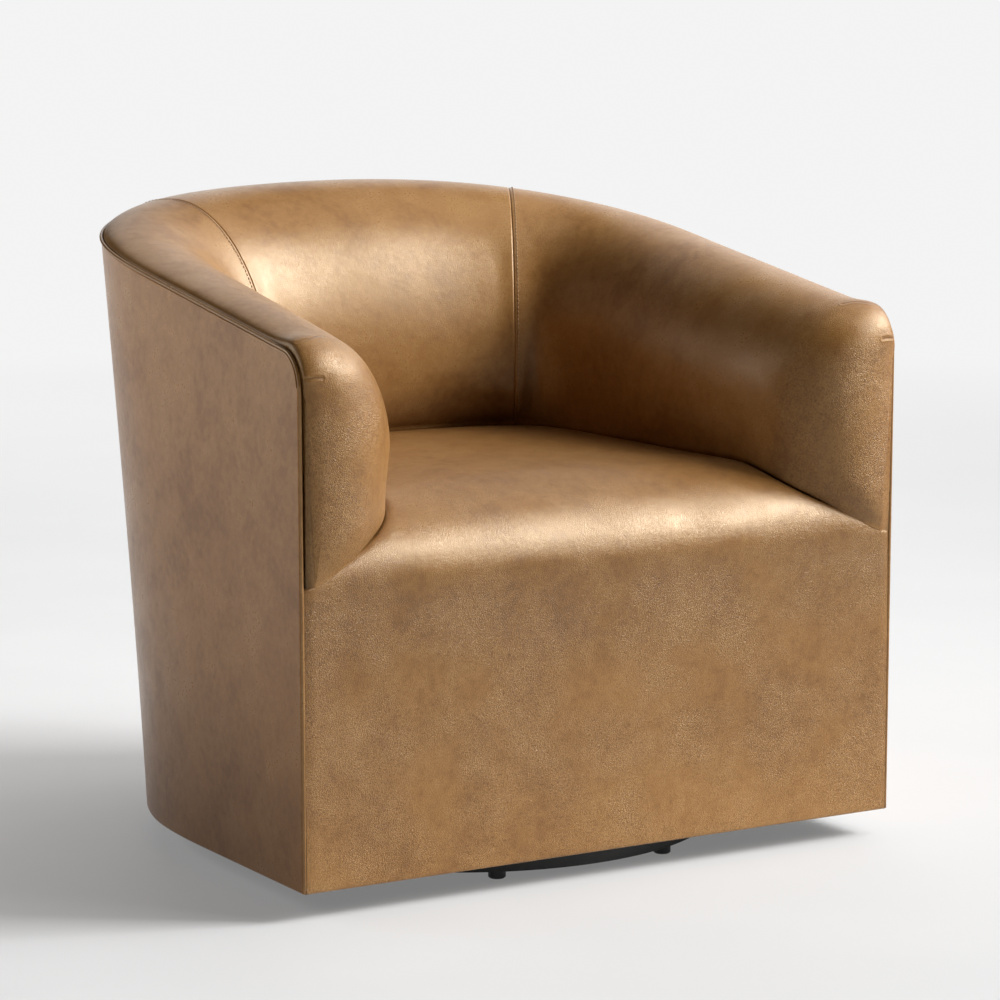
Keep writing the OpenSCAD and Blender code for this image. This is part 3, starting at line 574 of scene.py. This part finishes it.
def hide_rows():
    """Depth and height of the hide's rows: up the front, over the roll, then back."""
    hem = [HEM + HEM_R * k for k in (0, 0.12, 0.35, 0.7)]
    rows = [(0.0, z) for z in [*hem, *np.linspace(HEM + 4, FALL_Z, 60)]]
    for a in quarter(43):
        rows.append((ROLL_D * (1 - math.cos(a)), FALL_Z + ROLL_H * math.sin(a)))
    tail = TUB_D - BACK_FULL + 7.5 - ROLL_D
    for s in np.arange(1, 91) / 90:
        rows.append((ROLL_D + tail * (s + 0.35 * s * (1 - s)), SEAT_Z))
    return np.array(rows).T


def contact_distance(x, y):
    """Distance inside the line where the pads touch the seat, below 0 under the pads."""
    depths = np.arange(0, ROLL_D, 1.5)
    line = np.concatenate([np.stack([contact_half(depths), FRONT + depths], -1), seat_curve(0.0)])
    points = np.stack([x, y], -1).reshape(-1, 2)
    dist = np.full(len(points), 1e9)
    for a, b in zip(line[:-1], line[1:]):
        ab = b - a
        s = np.clip(((points - a) @ ab) / max(ab @ ab, 1e-9), 0, 1)
        dist = np.minimum(dist, np.linalg.norm(points - (a + s[:, None] * ab), axis=1))
    inside = (x < seat_half(y)) & (y < BACK - BACK_FULL)
    return np.where(inside, 1, -1) * dist.reshape(x.shape)


def tucked(inside, r, dip, slope):
    """Dip of the hide's edge: rolled within r of the pads, then on down at a slope under them."""
    return np.where(inside > 0, rounded(inside, r, dip), dip - inside * slope)


def make_seat():
    """The hide of front, roll and seat in one grid, from the hem up and back."""
    depth, z = hide_rows()
    on_front = depth < 0.01
    columns = np.linspace(-1, 1, SEAT_COLUMNS)
    columns = np.sign(columns) * np.abs(columns) ** 0.85
    up_front = HALF_BOTTOM - FRONT_IN + FRONT_SPREAD * (z - SKIRT) / (FALL_Z - SKIRT)
    over = seat_half(FRONT + depth, SEAT_TUCK * np.clip(depth / 20, 0, 1))
    half = np.where(on_front, up_front, np.minimum(over, HALF_TOP - 5.0))[:, None]
    x = columns * half
    y = np.repeat((FRONT + depth)[:, None], SEAT_COLUMNS, 1)
    points = np.stack([x, y, z[:, None] + seat_lift(np.abs(x), y)], -1)
    n = grid_normals(points)
    n *= np.sign(n[len(depth) // 2, SEAT_COLUMNS // 2, 2])

    # Held at the edges, under the pads and at the hem, and half held down the front
    inside = contact_distance(np.abs(x), y)
    at_side = ease((np.abs(x) / np.maximum(half, 1) - 0.90) / 0.08)
    at_pads = np.where(inside < 14, 1.0, 0.0) * (depth > 1)[:, None]
    at_hem = (1 - ease((z - HEM - 6) / 22))[:, None]
    at_front = np.where(z < FALL_Z - 20, 0.6, 0.0)[:, None]
    pin = np.maximum(np.maximum(at_side, at_pads), np.maximum(at_hem, at_front))
    points = inflate(points, pin, SEAT_PRESSURE, SEAT_CAP, n=n)

    # The edge rolls down under the pads, less so on the roll's front
    weight = ease(depth / 30)[:, None]
    dip = tucked(inside, *SEAT_EDGE) * weight
    dip += tucked(inside, *ROLL_EDGE) * (1 - weight) * (depth > 0.01)[:, None]
    points = points - n * dip[..., None]

    # The front edges roll back into the corner seams, the lower edge turns under
    edge = HALF_BOTTOM - FRONT_IN + FRONT_SPREAD - np.abs(x)
    points[..., 1] += np.where(on_front[:, None], rounded(edge, 3.0, 3.0), 0)
    low = np.clip((HEM + HEM_R - z) / HEM_R, 0, 0.999)
    points[..., 1] += (HEM_R * (1 - np.sqrt(1 - low ** 2)))[:, None]
    under = points[:1] + [0, 12, 0]
    points = np.concatenate([under, points])
    ob = mesh_object("seat_cushion", points, grid_faces(*points.shape[:2]))
    grain = np.concatenate([[1.0], 1 - 0.9 * ease((z - 325) / 70)])
    set_grain(ob, np.repeat(grain[:, None], SEAT_COLUMNS, 1))
    fix_normals(ob, TUB_MIDDLE)
    return ob


# Outside panels
PANEL_START = 2.2  # how far behind the front the side panels begin
PANEL_EDGE, PANEL_SEAM = (1.8, 1.6), (3.0, 2.6)  # radius and dip of their edges and of the outside seams
PANEL_DIP = 4.5  # the most they dip
PANEL_BEND = CORNER_R - 5.5  # radius of their top front corner
PANEL_LIP = 1.7  # how far they reach up beside the welt


def panel_top(t):
    ahead = np.maximum(0, CORNER_R - depth_of(t))
    rise = np.sqrt(np.maximum(0, PANEL_BEND ** 2 - ahead * ahead))
    return seam_line(t) - WELT_BEND + rise + PANEL_LIP


def side_stations():
    edge = PANEL_START + np.array([0, 0.3, 0.7, 1.3, 2.1, 3.2, 4.8])
    depths = np.concatenate([edge, np.linspace(9, CORNER_R, 14), np.linspace(CORNER_R, SIDE_TOP, 34)[1:]])
    corner = np.linspace(STRAIGHT, SEAM - seam_steps[-1], 60)[1:]
    return np.concatenate([station(depths), corner, to_seam])


def make_panel(name, u, has_front):
    """An outside panel at stations u, rolled in at its edges and at the outside seams."""
    top = panel_top(half_station(u))
    share_z = np.concatenate([[0, 0.0016, 0.0035, 0.006], np.linspace(0.012, 0.985, 60),
                              [0.99, 0.9935, 0.996, 0.998, 0.9992, 1]])
    z = HEM + (top - HEM)[:, None] * share_z
    stations = np.repeat(u[:, None], len(share_z), 1)
    inset = rounded(top[:, None] - z, *PANEL_EDGE) + rounded(z - HEM, HEM_R, HEM_R)
    if has_front:
        inset += rounded(depth_of(half_station(stations)) - PANEL_START, *PANEL_EDGE)
    inset += rounded(np.abs(half_station(stations) - SEAM) * PER_STATION, *PANEL_SEAM)
    points = wall(stations, np.minimum(inset, PANEL_DIP), z, leaning=True)
    under = wall(u, 12.0, HEM + 0.2, leaning=True)[:, None]
    points = np.concatenate([under, points], 1)
    ob = mesh_object(name, points, grid_faces(*points.shape[:2]))
    set_grain(ob, np.full(points.shape[:2], 0.15))
    fix_normals(ob, TUB_MIDDLE)
    return ob


# Welt
def welt_path():
    """Up the left front edge, round the top and down the right front edge."""
    bend = CORNER_R - WELT_IN
    heights = np.linspace(HEM + 1.0, float(seam_line(0.0)) - WELT_BEND - 4, 50)
    edge = [(-(HALF_TOP - float(lean(0.0, z)) - WELT_IN), FRONT + WELT_IN, z) for z in heights]
    for a in quarter(21, first=0):
        d = CORNER_R - bend * math.cos(a)
        z = float(seam_line(station(d))) - bend * (1 - math.sin(a))
        edge.append((-(HALF_TOP - WELT_IN), FRONT + d, z))
    u = np.concatenate([np.linspace(station(CORNER_R + 4), STRAIGHT, 40), np.linspace(STRAIGHT, 1, 90)[1:]])
    half = np.concatenate([edge, wall(u, WELT_IN, seam_line(u))])
    return np.concatenate([half, half[-2::-1] * [-1, 1, 1]])


def tube(name, path, radius, sides):
    """A tube with closed ends along a path."""
    tangents = unit(np.gradient(path, axis=0))
    turn = np.linspace(0, 2 * np.pi, sides, endpoint=False)[:, None]
    across = np.array([1.0, 0, 0])
    rings = []
    for p, along in zip(path, tangents):
        across = unit(across - along * (across @ along))
        rings.append(p + radius * (np.cos(turn) * across + np.sin(turn) * np.cross(along, across)))
    ob = mesh_object(name, rings, closed_faces(len(rings), sides))
    fix_normals(ob)
    return ob


# Topstitching beside the inner seams
def seam_profile(u):
    """Points on the pad's surface at a station, from the welt to the seat, with normals."""
    section = pad_section([u - 0.002, u, u + 0.002])
    shown = section[:, 2:3 + RIM_ROWS + BROW_ROWS + FACE_ROWS]
    line = shown[1]
    n = grid_normals(shown)[1]
    outward = ((line - section[1].mean(0)) * n).sum()
    return line, (n if outward > 0 else -n)


def stitches(name, side):
    """A row of short threads a few millimetres beside a seam, on the arm's side."""
    line, n = seam_profile(1 + side * (1 - SEAM))
    line = line + seam_tangent(side) * STITCH_GAP
    steps = np.linalg.norm(np.diff(line, axis=0), axis=1)
    arc = np.concatenate([[0], np.cumsum(steps)])
    rings, faces = [], []
    start = STITCH_FROM
    while start + STITCH_LENGTH < arc[-1] - STITCH_STOP:
        at = start + STITCH_LENGTH * np.array([0.0, 0.2, 0.5, 0.8, 1.0])
        up = unit(np.stack([np.interp(at, arc, n[:, k]) for k in range(3)], -1))
        path = np.stack([np.interp(at, arc, line[:, k]) for k in range(3)], -1)
        path = path + up * np.array([-0.35, 0.16, 0.26, 0.16, -0.35])[:, None]
        across = np.cross(unit(np.gradient(path, axis=0)), up)
        thick = STITCH_R * np.array([0.55, 1, 1, 1, 0.55])[:, None]
        first = len(rings) * 30
        turns = [2 * math.pi * j / 6 for j in range(6)]
        rings.append(np.stack([path + thick * (math.cos(w) * up + math.sin(w) * across) for w in turns], 1))
        faces += [tuple(first + v for v in face) for face in closed_faces(5, 6)]
        start += STITCH_LENGTH + STITCH_SPACE
    ob = mesh_object(name, rings, faces)
    fix_normals(ob)
    return ob


left_arm = make_arm("left_arm_cushion", False)
right_arm = make_arm("right_arm_cushion", True)
back = make_back()
seat = make_seat()
left_panel = make_panel("left_outside", side_stations(), True)
right_panel = make_panel("right_outside", 2 - side_stations()[::-1], True)
rear_panel = make_panel("back_outside", back_stations(), False)
welt = tube("welt_cord", welt_path(), WELT_R, 12)
left_stitch = stitches("left_topstitch", -1)
right_stitch = stitches("right_topstitch", 1)


# Materials
class Net:
    """Short names for the nodes that the materials use."""

    def __init__(self, tree):
        self.tree = tree

    def node(self, kind, **settings):
        n = self.tree.nodes.new(kind)
        for name, value in settings.items():
            setattr(n, name, value)
        return n

    def put(self, socket, value):
        if isinstance(value, bpy.types.NodeSocket):
            self.tree.links.new(value, socket)
        else:
            socket.default_value = value

    def coords(self, scale=(1, 1, 1), shift=0.0):
        place = self.node("ShaderNodeTexCoord")
        mapping = self.node("ShaderNodeMapping")
        self.put(mapping.inputs["Vector"], place.outputs["Object"])
        mapping.inputs["Scale"].default_value = scale
        mapping.inputs["Location"].default_value = (shift, shift * 0.7, -shift)
        return mapping.outputs[0]

    def noise(self, vec, scale, detail=3.0, rough=0.5, distortion=0.0, out="Fac"):
        n = self.node("ShaderNodeTexNoise")
        self.put(n.inputs["Vector"], vec)
        n.inputs["Scale"].default_value = scale
        n.inputs["Detail"].default_value = detail
        n.inputs["Roughness"].default_value = rough
        n.inputs["Distortion"].default_value = distortion
        return n.outputs[out]

    def cells(self, vec, scale):
        """Distance to the nearest border between cells."""
        n = self.node("ShaderNodeTexVoronoi", feature="DISTANCE_TO_EDGE")
        self.put(n.inputs["Vector"], vec)
        n.inputs["Scale"].default_value = scale
        return n.outputs["Distance"]

    def ramp(self, fac, stops, smooth=True):
        """Colour ramp. A stop is a place with a colour or a grey."""
        n = self.node("ShaderNodeValToRGB")
        n.color_ramp.interpolation = "EASE" if smooth else "LINEAR"
        elements = n.color_ramp.elements
        while len(elements) < len(stops):
            elements.new(0.5)
        for element, (place, colour) in zip(elements, stops):
            element.position = place
            element.color = (*colour, 1) if isinstance(colour, tuple) else (colour, colour, colour, 1)
        self.put(n.inputs[0], fac)
        return n.outputs[0]

    def math(self, op, a, b=0.0, clamp=False):
        n = self.node("ShaderNodeMath", operation=op, use_clamp=clamp)
        self.put(n.inputs[0], a)
        self.put(n.inputs[1], b)
        return n.outputs[0]

    def vector(self, op, a, b, out=0, to=1):
        n = self.node("ShaderNodeVectorMath", operation=op)
        self.put(n.inputs[0], a)
        self.put(n.inputs[to], b)
        return n.outputs[out]

    def total(self, *parts):
        """Sum of values times their weights."""
        out = None
        for value, weight in parts:
            part = self.math("MULTIPLY", value, weight)
            out = part if out is None else self.math("ADD", out, part)
        return out

    def remap(self, value, lo, hi, to_lo, to_hi, kind="LINEAR"):
        n = self.node("ShaderNodeMapRange", interpolation_type=kind)
        names = ("Value", "From Min", "From Max", "To Min", "To Max")
        for name, v in zip(names, (value, lo, hi, to_lo, to_hi)):
            self.put(n.inputs[name], v)
        return n.outputs[0]

    def mix(self, fac, a, b, mode="MULTIPLY"):
        n = self.node("ShaderNodeMix", data_type="RGBA", blend_type=mode)
        self.put(n.inputs[0], fac)
        self.put(n.inputs[6], a)
        self.put(n.inputs[7], b)
        return n.outputs[2]

    def grain(self):
        return self.node("ShaderNodeAttribute", attribute_name="grain").outputs["Fac"]

    def bump(self, height, strength, distance, normal=None):
        n = self.node("ShaderNodeBump")
        self.put(n.inputs["Height"], height)
        n.inputs["Strength"].default_value = strength
        n.inputs["Distance"].default_value = distance
        if normal is not None:
            self.put(n.inputs["Normal"], normal)
        return n.outputs[0]


def material(name):
    """An empty material with its net and shader."""
    m = bpy.data.materials.new(name)
    m.use_nodes = True
    m.node_tree.nodes.clear()
    net = Net(m.node_tree)
    shader = net.node("ShaderNodeBsdfPrincipled")
    net.put(net.node("ShaderNodeOutputMaterial").inputs[0], shader.outputs[0])
    return m, net, shader


# Darts of the left arm's cap as lines in millimetres. The right arm has their mirror image.
DARTS = (
    ((-383.5, -314.8, 614.3), (-377.0, -327.0, 621.5), (-364.7, -326.7, 624.9), (-348.2, -318.2, 626.4),
     (-336.4, -316.2, 624.4)),
    ((-385.2, -347.5, 585.9), (-379.6, -354.1, 586.3), (-371.3, -356.3, 587.1), (-364.0, -357.4, 586.7)),
)


def dart_distance(net):
    """Distance from the nearest dart of either arm, in metres."""
    split, join = net.node("ShaderNodeSeparateXYZ"), net.node("ShaderNodeCombineXYZ")
    net.put(split.inputs[0], net.coords())
    net.put(join.inputs[0], net.math("MULTIPLY", net.math("ABSOLUTE", split.outputs[0]), -1.0))
    net.put(join.inputs[1], split.outputs[1])
    net.put(join.inputs[2], split.outputs[2])
    nearest = None
    for line in DARTS:
        for a, b in zip(line[:-1], line[1:]):
            a, b = Vector(a) * 0.001, Vector(b) * 0.001
            off = net.vector("SUBTRACT", join.outputs[0], a)
            along = net.vector("DOT_PRODUCT", off, (b - a) / (b - a).length_squared, "Value")
            foot = net.vector("SCALE", b - a, net.math("ADD", along, 0.0, clamp=True), to="Scale")
            gap = net.vector("DISTANCE", off, foot, "Value")
            nearest = gap if nearest is None else net.math("MINIMUM", nearest, gap)
    return nearest


def pebbles(net, vec):
    """Borders and height of the leather's grain, two sizes of cell on a slightly warped base."""
    shifted = net.vector("SCALE", net.noise(vec, 160, 2, 0.5, out="Color"), 0.0016, to="Scale")
    warped = net.vector("ADD", vec, shifted)
    large, small = net.cells(warped, 470), net.cells(warped, 1050)
    height = net.total((net.math("MINIMUM", large, 0.22), 3.2), (net.math("MINIMUM", small, 0.2), 1.2))
    return large, height


def leather(name, grain, tint=(1, 1, 1), shift=0.0, shine=0.95, gloss=(1.0, 0.82, 0.58),
            painted_light_by_height=None, tall=0.36, darts=False):
    """Waxed tan leather: cloudy pull-up colour, pebbled grain and a satin finish.

    shift moves the pattern, so that no two hides are alike. The tint by height is painted light and shade,
    given low down, midway and at the height tall in metres.
    """
    m, net, shader = material(name)
    vec = net.coords(shift=shift)
    fine = net.noise(vec, 400, 2, 0.5)
    tone = net.total((net.noise(vec, 7.0, 4, 0.55, 0.3), 0.36), (net.noise(vec, 26, 5, 0.62, 0.25), 0.38),
                     (net.noise(vec, 105, 4, 0.6), 0.26))
    dark, tan, pale = (0.205, 0.090, 0.024), (0.275, 0.132, 0.038), (0.325, 0.168, 0.055)
    stops = [(place, tuple(c * t for c, t in zip(colour, tint)))
             for place, colour in ((0.38, dark), (0.49, tan), (0.60, pale))]
    colour = net.ramp(tone, stops, smooth=False)

    # The grain's amount: the piece's own, less where the pad is smooth, and uneven in places
    amount = net.remap(net.grain(), 0, 1, 0.35 * grain, grain)
    amount = net.math("MULTIPLY", amount, net.remap(net.noise(vec, 13, 2), 0.36, 0.64, 0.45, 1.2))
    specks = [(0.34, (0.66, 0.60, 0.52)), (0.50, (0.97, 0.96, 0.95)), (0.66, 1.06)]
    speck = net.ramp(fine, specks, smooth=False)
    colour = net.mix(net.remap(amount, 0, 1, 0.08, 1.0), colour, speck)
    # Painted light and shade: the colour is tinted lighter or darker by height
    if painted_light_by_height:
        place = net.node("ShaderNodeSeparateXYZ")
        net.put(place.inputs[0], net.coords())
        height = net.remap(place.outputs[2], 0.03, tall, 0, 1)
        colour = net.mix(1.0, colour, net.ramp(height, list(zip((0.0, 0.5, 1.0), painted_light_by_height))))
    border, pebble = pebbles(net, vec)
    crease = net.ramp(border, [(0.0, (0.62, 0.56, 0.50)), (0.09, 1.0)])
    colour = net.mix(net.math("MULTIPLY", amount, 0.9, clamp=True), colour, crease)

    soft = net.total((net.noise(vec, 55, 3, 0.55), 0.9), (fine, 0.12))
    normal = net.bump(soft, 0.20, 0.0016)
    normal = net.bump(net.math("MULTIPLY", pebble, amount), 0.5, 0.0008, normal)
    if darts:
        near = dart_distance(net)
        # Painted shade in the darts' folds, with a painted highlight on the lip beside them
        line = [(0.0, (0.55, 0.49, 0.43)), (0.16, (0.76, 0.72, 0.68)), (0.36, (1.05, 1.04, 1.03)), (0.8, 1.0)]
        colour = net.mix(1.0, colour, net.ramp(net.remap(near, 0, 0.004, 0, 1), line, smooth=False))
        fold = net.ramp(net.remap(near, 0, 0.007, 0, 1), [(0.0, 0.0), (0.2, 0.35), (0.45, 1.0), (1.0, 0.62)])
        normal = net.bump(fold, 1.0, 0.0007, normal)
    rough = net.math("ADD", net.remap(tone, 0.38, 0.6, 0.34, 0.27), net.remap(fine, 0.3, 0.7, -0.03, 0.04))
    net.put(shader.inputs["Base Color"], colour)
    net.put(shader.inputs["Roughness"], net.math("ADD", rough, net.math("MULTIPLY", amount, 0.06)))
    net.put(shader.inputs["Normal"], normal)
    shader.inputs["Specular IOR Level"].default_value = shine
    shader.inputs["Specular Tint"].default_value = (*gloss, 1)
    return m


def simple(name, colour, rough, metallic=0.0, scale=60.0, vary=0.25, bump=0.15, stretch=(1, 1, 1)):
    """A finish whose colour and roughness vary in two sizes of cloud."""
    m, net, shader = material(name)
    vec = net.coords(stretch)
    large, small = net.noise(vec, scale, 5, 0.6), net.noise(vec, scale * 9, 3, 0.6)
    dark = tuple(c * (1 - vary) for c in colour)
    pale = tuple(min(1, c * (1 + vary)) for c in colour)
    net.put(shader.inputs["Base Color"], net.ramp(large, [(0.3, dark), (0.7, pale)]))
    net.put(shader.inputs["Roughness"], net.remap(small, 0.3, 0.7, rough * 0.85, min(1, rough * 1.15)))
    net.put(shader.inputs["Normal"], net.bump(small, bump, 0.0004))
    shader.inputs["Metallic"].default_value = metallic
    return m


def wood(name, pale, dark):
    m, net, shader = material(name)
    rings = net.noise(net.coords((3, 3, 30)), 6, 6, 0.6, 1.2)
    fibre = net.noise(net.coords((20, 20, 320)), 3, 4, 0.6)
    colour = net.ramp(rings, [(0.3, dark), (0.55, pale), (0.75, dark)])
    colour = net.mix(0.3, colour, net.ramp(fibre, [(0.35, (0.7, 0.66, 0.6)), (0.6, 1.0)]))
    net.put(shader.inputs["Base Color"], colour)
    net.put(shader.inputs["Normal"], net.bump(fibre, 0.2, 0.0004))
    shader.inputs["Roughness"].default_value = 0.62
    return m


def woven(name, colour, scale):
    m, net, shader = material(name)
    vec = net.coords()
    threads = []
    for direction in ("X", "Y"):
        wave = net.node("ShaderNodeTexWave", wave_type="BANDS", bands_direction=direction)
        net.put(wave.inputs["Vector"], vec)
        wave.inputs["Scale"].default_value = scale
        wave.inputs["Distortion"].default_value = 1.5
        threads.append(wave.outputs["Fac"])
    weave = net.math("MAXIMUM", *threads)
    dark, pale = tuple(c * 0.8 for c in colour), tuple(min(1, c * 1.15) for c in colour)
    base = net.ramp(net.noise(vec, 14, 4), [(0.3, dark), (0.7, pale)])
    base = net.mix(0.5, base, net.ramp(weave, [(0.2, 0.6), (0.8, 1.0)]))
    net.put(shader.inputs["Base Color"], base)
    net.put(shader.inputs["Normal"], net.bump(weave, 0.4, 0.0003))
    shader.inputs["Roughness"].default_value = 0.9
    return m


# Painted light: the seat hide is lighter low on its front and darker higher up, for light from the floor
# below
hide_front = leather("leather_seat", 1.0, painted_light_by_height=(1.26, (1.06, 1.05, 1.05), (0.88, 0.86, 0.84)))
hide_arm = leather("leather_arm", 1.0, shift=0.37, shine=0.8, darts=True)
hide_back = leather("leather_back", 0.6, (0.93, 0.93, 0.93), shift=0.81, shine=0.7)
# Painted light: the side hides are darker low down and lighter high up, and their warmer tint is lightened
hide_side = leather("leather_side", 0.45, (1.13, 1.04, 0.88), shift=1.3, shine=0.6, gloss=(1.0, 0.80, 0.58),
                    painted_light_by_height=((0.68, 0.64, 0.58), (1.02, 1.0, 0.98), (1.18, 1.17, 1.14)), tall=0.62)
hide_welt = leather("leather_welt", 0.3, (0.95, 0.93, 0.9), shift=2.1)
thread = simple("thread", (0.42, 0.27, 0.15), 0.6, scale=900, vary=0.2)

slot_materials = {
    "black_wood": simple("black_wood", (0.014, 0.014, 0.014), 0.6, scale=30, stretch=(1, 1, 6)),
    "black_plastic": simple("black_plastic", (0.018, 0.018, 0.018), 0.45, scale=200),
    "steel": simple("zinc_steel", (0.45, 0.46, 0.48), 0.38, 1.0, scale=90),
    "bright_steel": simple("bearing_steel", (0.7, 0.71, 0.73), 0.15, 1.0, scale=120, vary=0.05, bump=0.03),
    "black_steel": simple("black_oxide", (0.03, 0.03, 0.032), 0.42, 0.6, scale=150),
    "brass": simple("cage_brass", (0.55, 0.40, 0.17), 0.32, 1.0, scale=140, vary=0.12),
    "spring_steel": simple("spring_wire", (0.25, 0.26, 0.28), 0.4, 0.9, scale=260),
    "frame_wood": wood("frame_ply", (0.55, 0.38, 0.21), (0.42, 0.27, 0.14)),
    "card": simple("upholstery_card", (0.32, 0.25, 0.17), 0.85, scale=40),
    "paper_wire": simple("paper_wire", (0.6, 0.53, 0.38), 0.8, scale=300),
    "deck_felt": woven("deck_felt", (0.5, 0.46, 0.38), 300),
    "foam": simple("foam_cells", (0.75, 0.68, 0.48), 0.9, scale=400, vary=0.1),
    "black_cloth": woven("dust_cloth", (0.02, 0.02, 0.02), 420),
}
slots = {s["node"]: s["material_slot"] for s in frame["record"]["subparts"]}
for name, ob in nodes.items():
    ob.data.materials.clear()
    ob.data.materials.append(slot_materials.get(slots.get(name), hide_side))

for ob, m in ((left_arm, hide_arm), (right_arm, hide_arm), (back, hide_back), (seat, hide_front),
              (left_panel, hide_side), (right_panel, hide_side), (rear_panel, hide_side),
              (welt, hide_welt), (left_stitch, thread), (right_stitch, thread)):
    ob.data.materials.append(m)
    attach(ob, "chair")
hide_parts("left_arm_pad")
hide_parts("right_arm_pad")
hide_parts("back_pad")
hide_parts("seat_cover", "seat_foam")
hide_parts("left_side_panel")
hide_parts("right_side_panel")
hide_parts("back_panel")
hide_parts("welt")


# Floor, background and light
PALE = (0.90, 0.90, 0.90, 1)
FLOOR_HALF = 30  # metres
FLOOR_SHADE_LEFT, FLOOR_SHADE_RIGHT = (-1.2, 0.66), (2.0, 0.27)  # metres across the view, and the tone of the floor's painted shade there
FADE_FROM, FADE_TO = 1.2, 5.0  # metres from the chair over which the floor fades into the background
VIEW_RIGHT = (0.857, -0.515, 0)
FLOOR_GLOW = 0.195  # strength of the floor's own light


def floor_paint():
    m, net, shader = material("floor_paint")
    vec = net.coords()
    across = net.vector("DOT_PRODUCT", vec, VIEW_RIGHT, "Value")
    paint = net.ramp(net.noise(vec, 3, 3), [(0.3, (0.97, 0.972, 0.972)), (0.7, 1.0)])
    # Painted shade: the floor is darker on the right, where the lamps light it most, so that it looks evenly
    # bright
    tone = net.ramp(net.remap(across, FLOOR_SHADE_LEFT[0], FLOOR_SHADE_RIGHT[0], 0, 1),
                    [(0.0, FLOOR_SHADE_LEFT[1]), (1.0, FLOOR_SHADE_RIGHT[1])], smooth=False)
    net.put(shader.inputs["Base Color"], net.mix(1.0, paint, tone))
    shader.inputs["Roughness"].default_value = 0.7
    shader.inputs["Specular IOR Level"].default_value = 0.2
    shader.inputs["Emission Color"].default_value = (1, 1, 1, 1)
    shader.inputs["Emission Strength"].default_value = FLOOR_GLOW
    glow = net.node("ShaderNodeEmission")
    glow.inputs["Color"].default_value = PALE
    away = net.vector("LENGTH", vec, (0, 0, 0), "Value")
    both = net.node("ShaderNodeMixShader")
    net.put(both.inputs[0], net.remap(away, FADE_FROM, FADE_TO, 0, 1, "SMOOTHSTEP"))
    net.put(both.inputs[1], shader.outputs[0])
    net.put(both.inputs[2], glow.outputs[0])
    out = [n for n in m.node_tree.nodes if n.type == "OUTPUT_MATERIAL"][0]
    net.put(out.inputs[0], both.outputs[0])
    return m


def make_world():
    """Almost no light from the world, and a pale background for the camera."""
    world = bpy.data.worlds.new("world")
    scene.world = world
    world.use_nodes = True
    world.node_tree.nodes.clear()
    net = Net(world.node_tree)
    both = net.node("ShaderNodeMixShader")
    net.put(both.inputs[0], net.node("ShaderNodeLightPath").outputs["Is Camera Ray"])
    for socket, colour, strength in ((1, (1, 1, 1, 1), 0.02), (2, PALE, 1.0)):
        shade = net.node("ShaderNodeBackground")
        shade.inputs[0].default_value = colour
        shade.inputs[1].default_value = strength
        net.put(both.inputs[socket], shade.outputs[0])
    net.put(net.node("ShaderNodeOutputWorld").inputs[0], both.outputs[0])


def area(name, place, target, size, power):
    """A square light that looks at a target."""
    data = bpy.data.lights.new(name, "AREA")
    data.energy = power
    data.size = size
    ob = bpy.data.objects.new(name, data)
    ob.location = place
    ob.rotation_euler = (Vector(target) - Vector(place)).to_track_quat("-Z", "Y").to_euler()
    scene.collection.objects.link(ob)


floor_mesh = bpy.data.meshes.new("floor")
floor_mesh.from_pydata([(FLOOR_HALF * x, FLOOR_HALF * y, 0) for x, y in ((-1, -1), (1, -1), (1, 1), (-1, 1))],
                       [], [(0, 1, 2, 3)])
floor = bpy.data.objects.new("floor", floor_mesh)
scene.collection.objects.link(floor)
floor_mesh.materials.append(floor_paint())
make_world()

MIDDLE = (0, 0, 0.4)
area("key", (4.92, -2.95, 4.42), MIDDLE, 2.30, 620)
area("front_right", (2.45, -3.13, 2.51), MIDDLE, 1.50, 48)
area("low_right", (3.96, -0.28, 2.51), MIDDLE, 1.50, 60)
area("high_right", (1.22, -0.74, 2.10), (0.1, -0.25, 0.45), 0.42, 10)
area("rear_right", (3.08, 1.12, 2.69), MIDDLE, 2.00, 22)
area("backdrop_right", (1.88, 3.26, 1.77), MIDDLE, 3.00, 32)
area("backdrop_left", (-2.79, 2.79, 1.09), MIDDLE, 3.00, 9)
area("left", (-1.45, 0.85, 0.95), (-0.39, 0.1, 0.6), 0.6, 5)
area("top", (0.55, 0.1, 2.7), (0, 0, 0.6), 1.4, 6)

scene.view_settings.view_transform = "Standard"
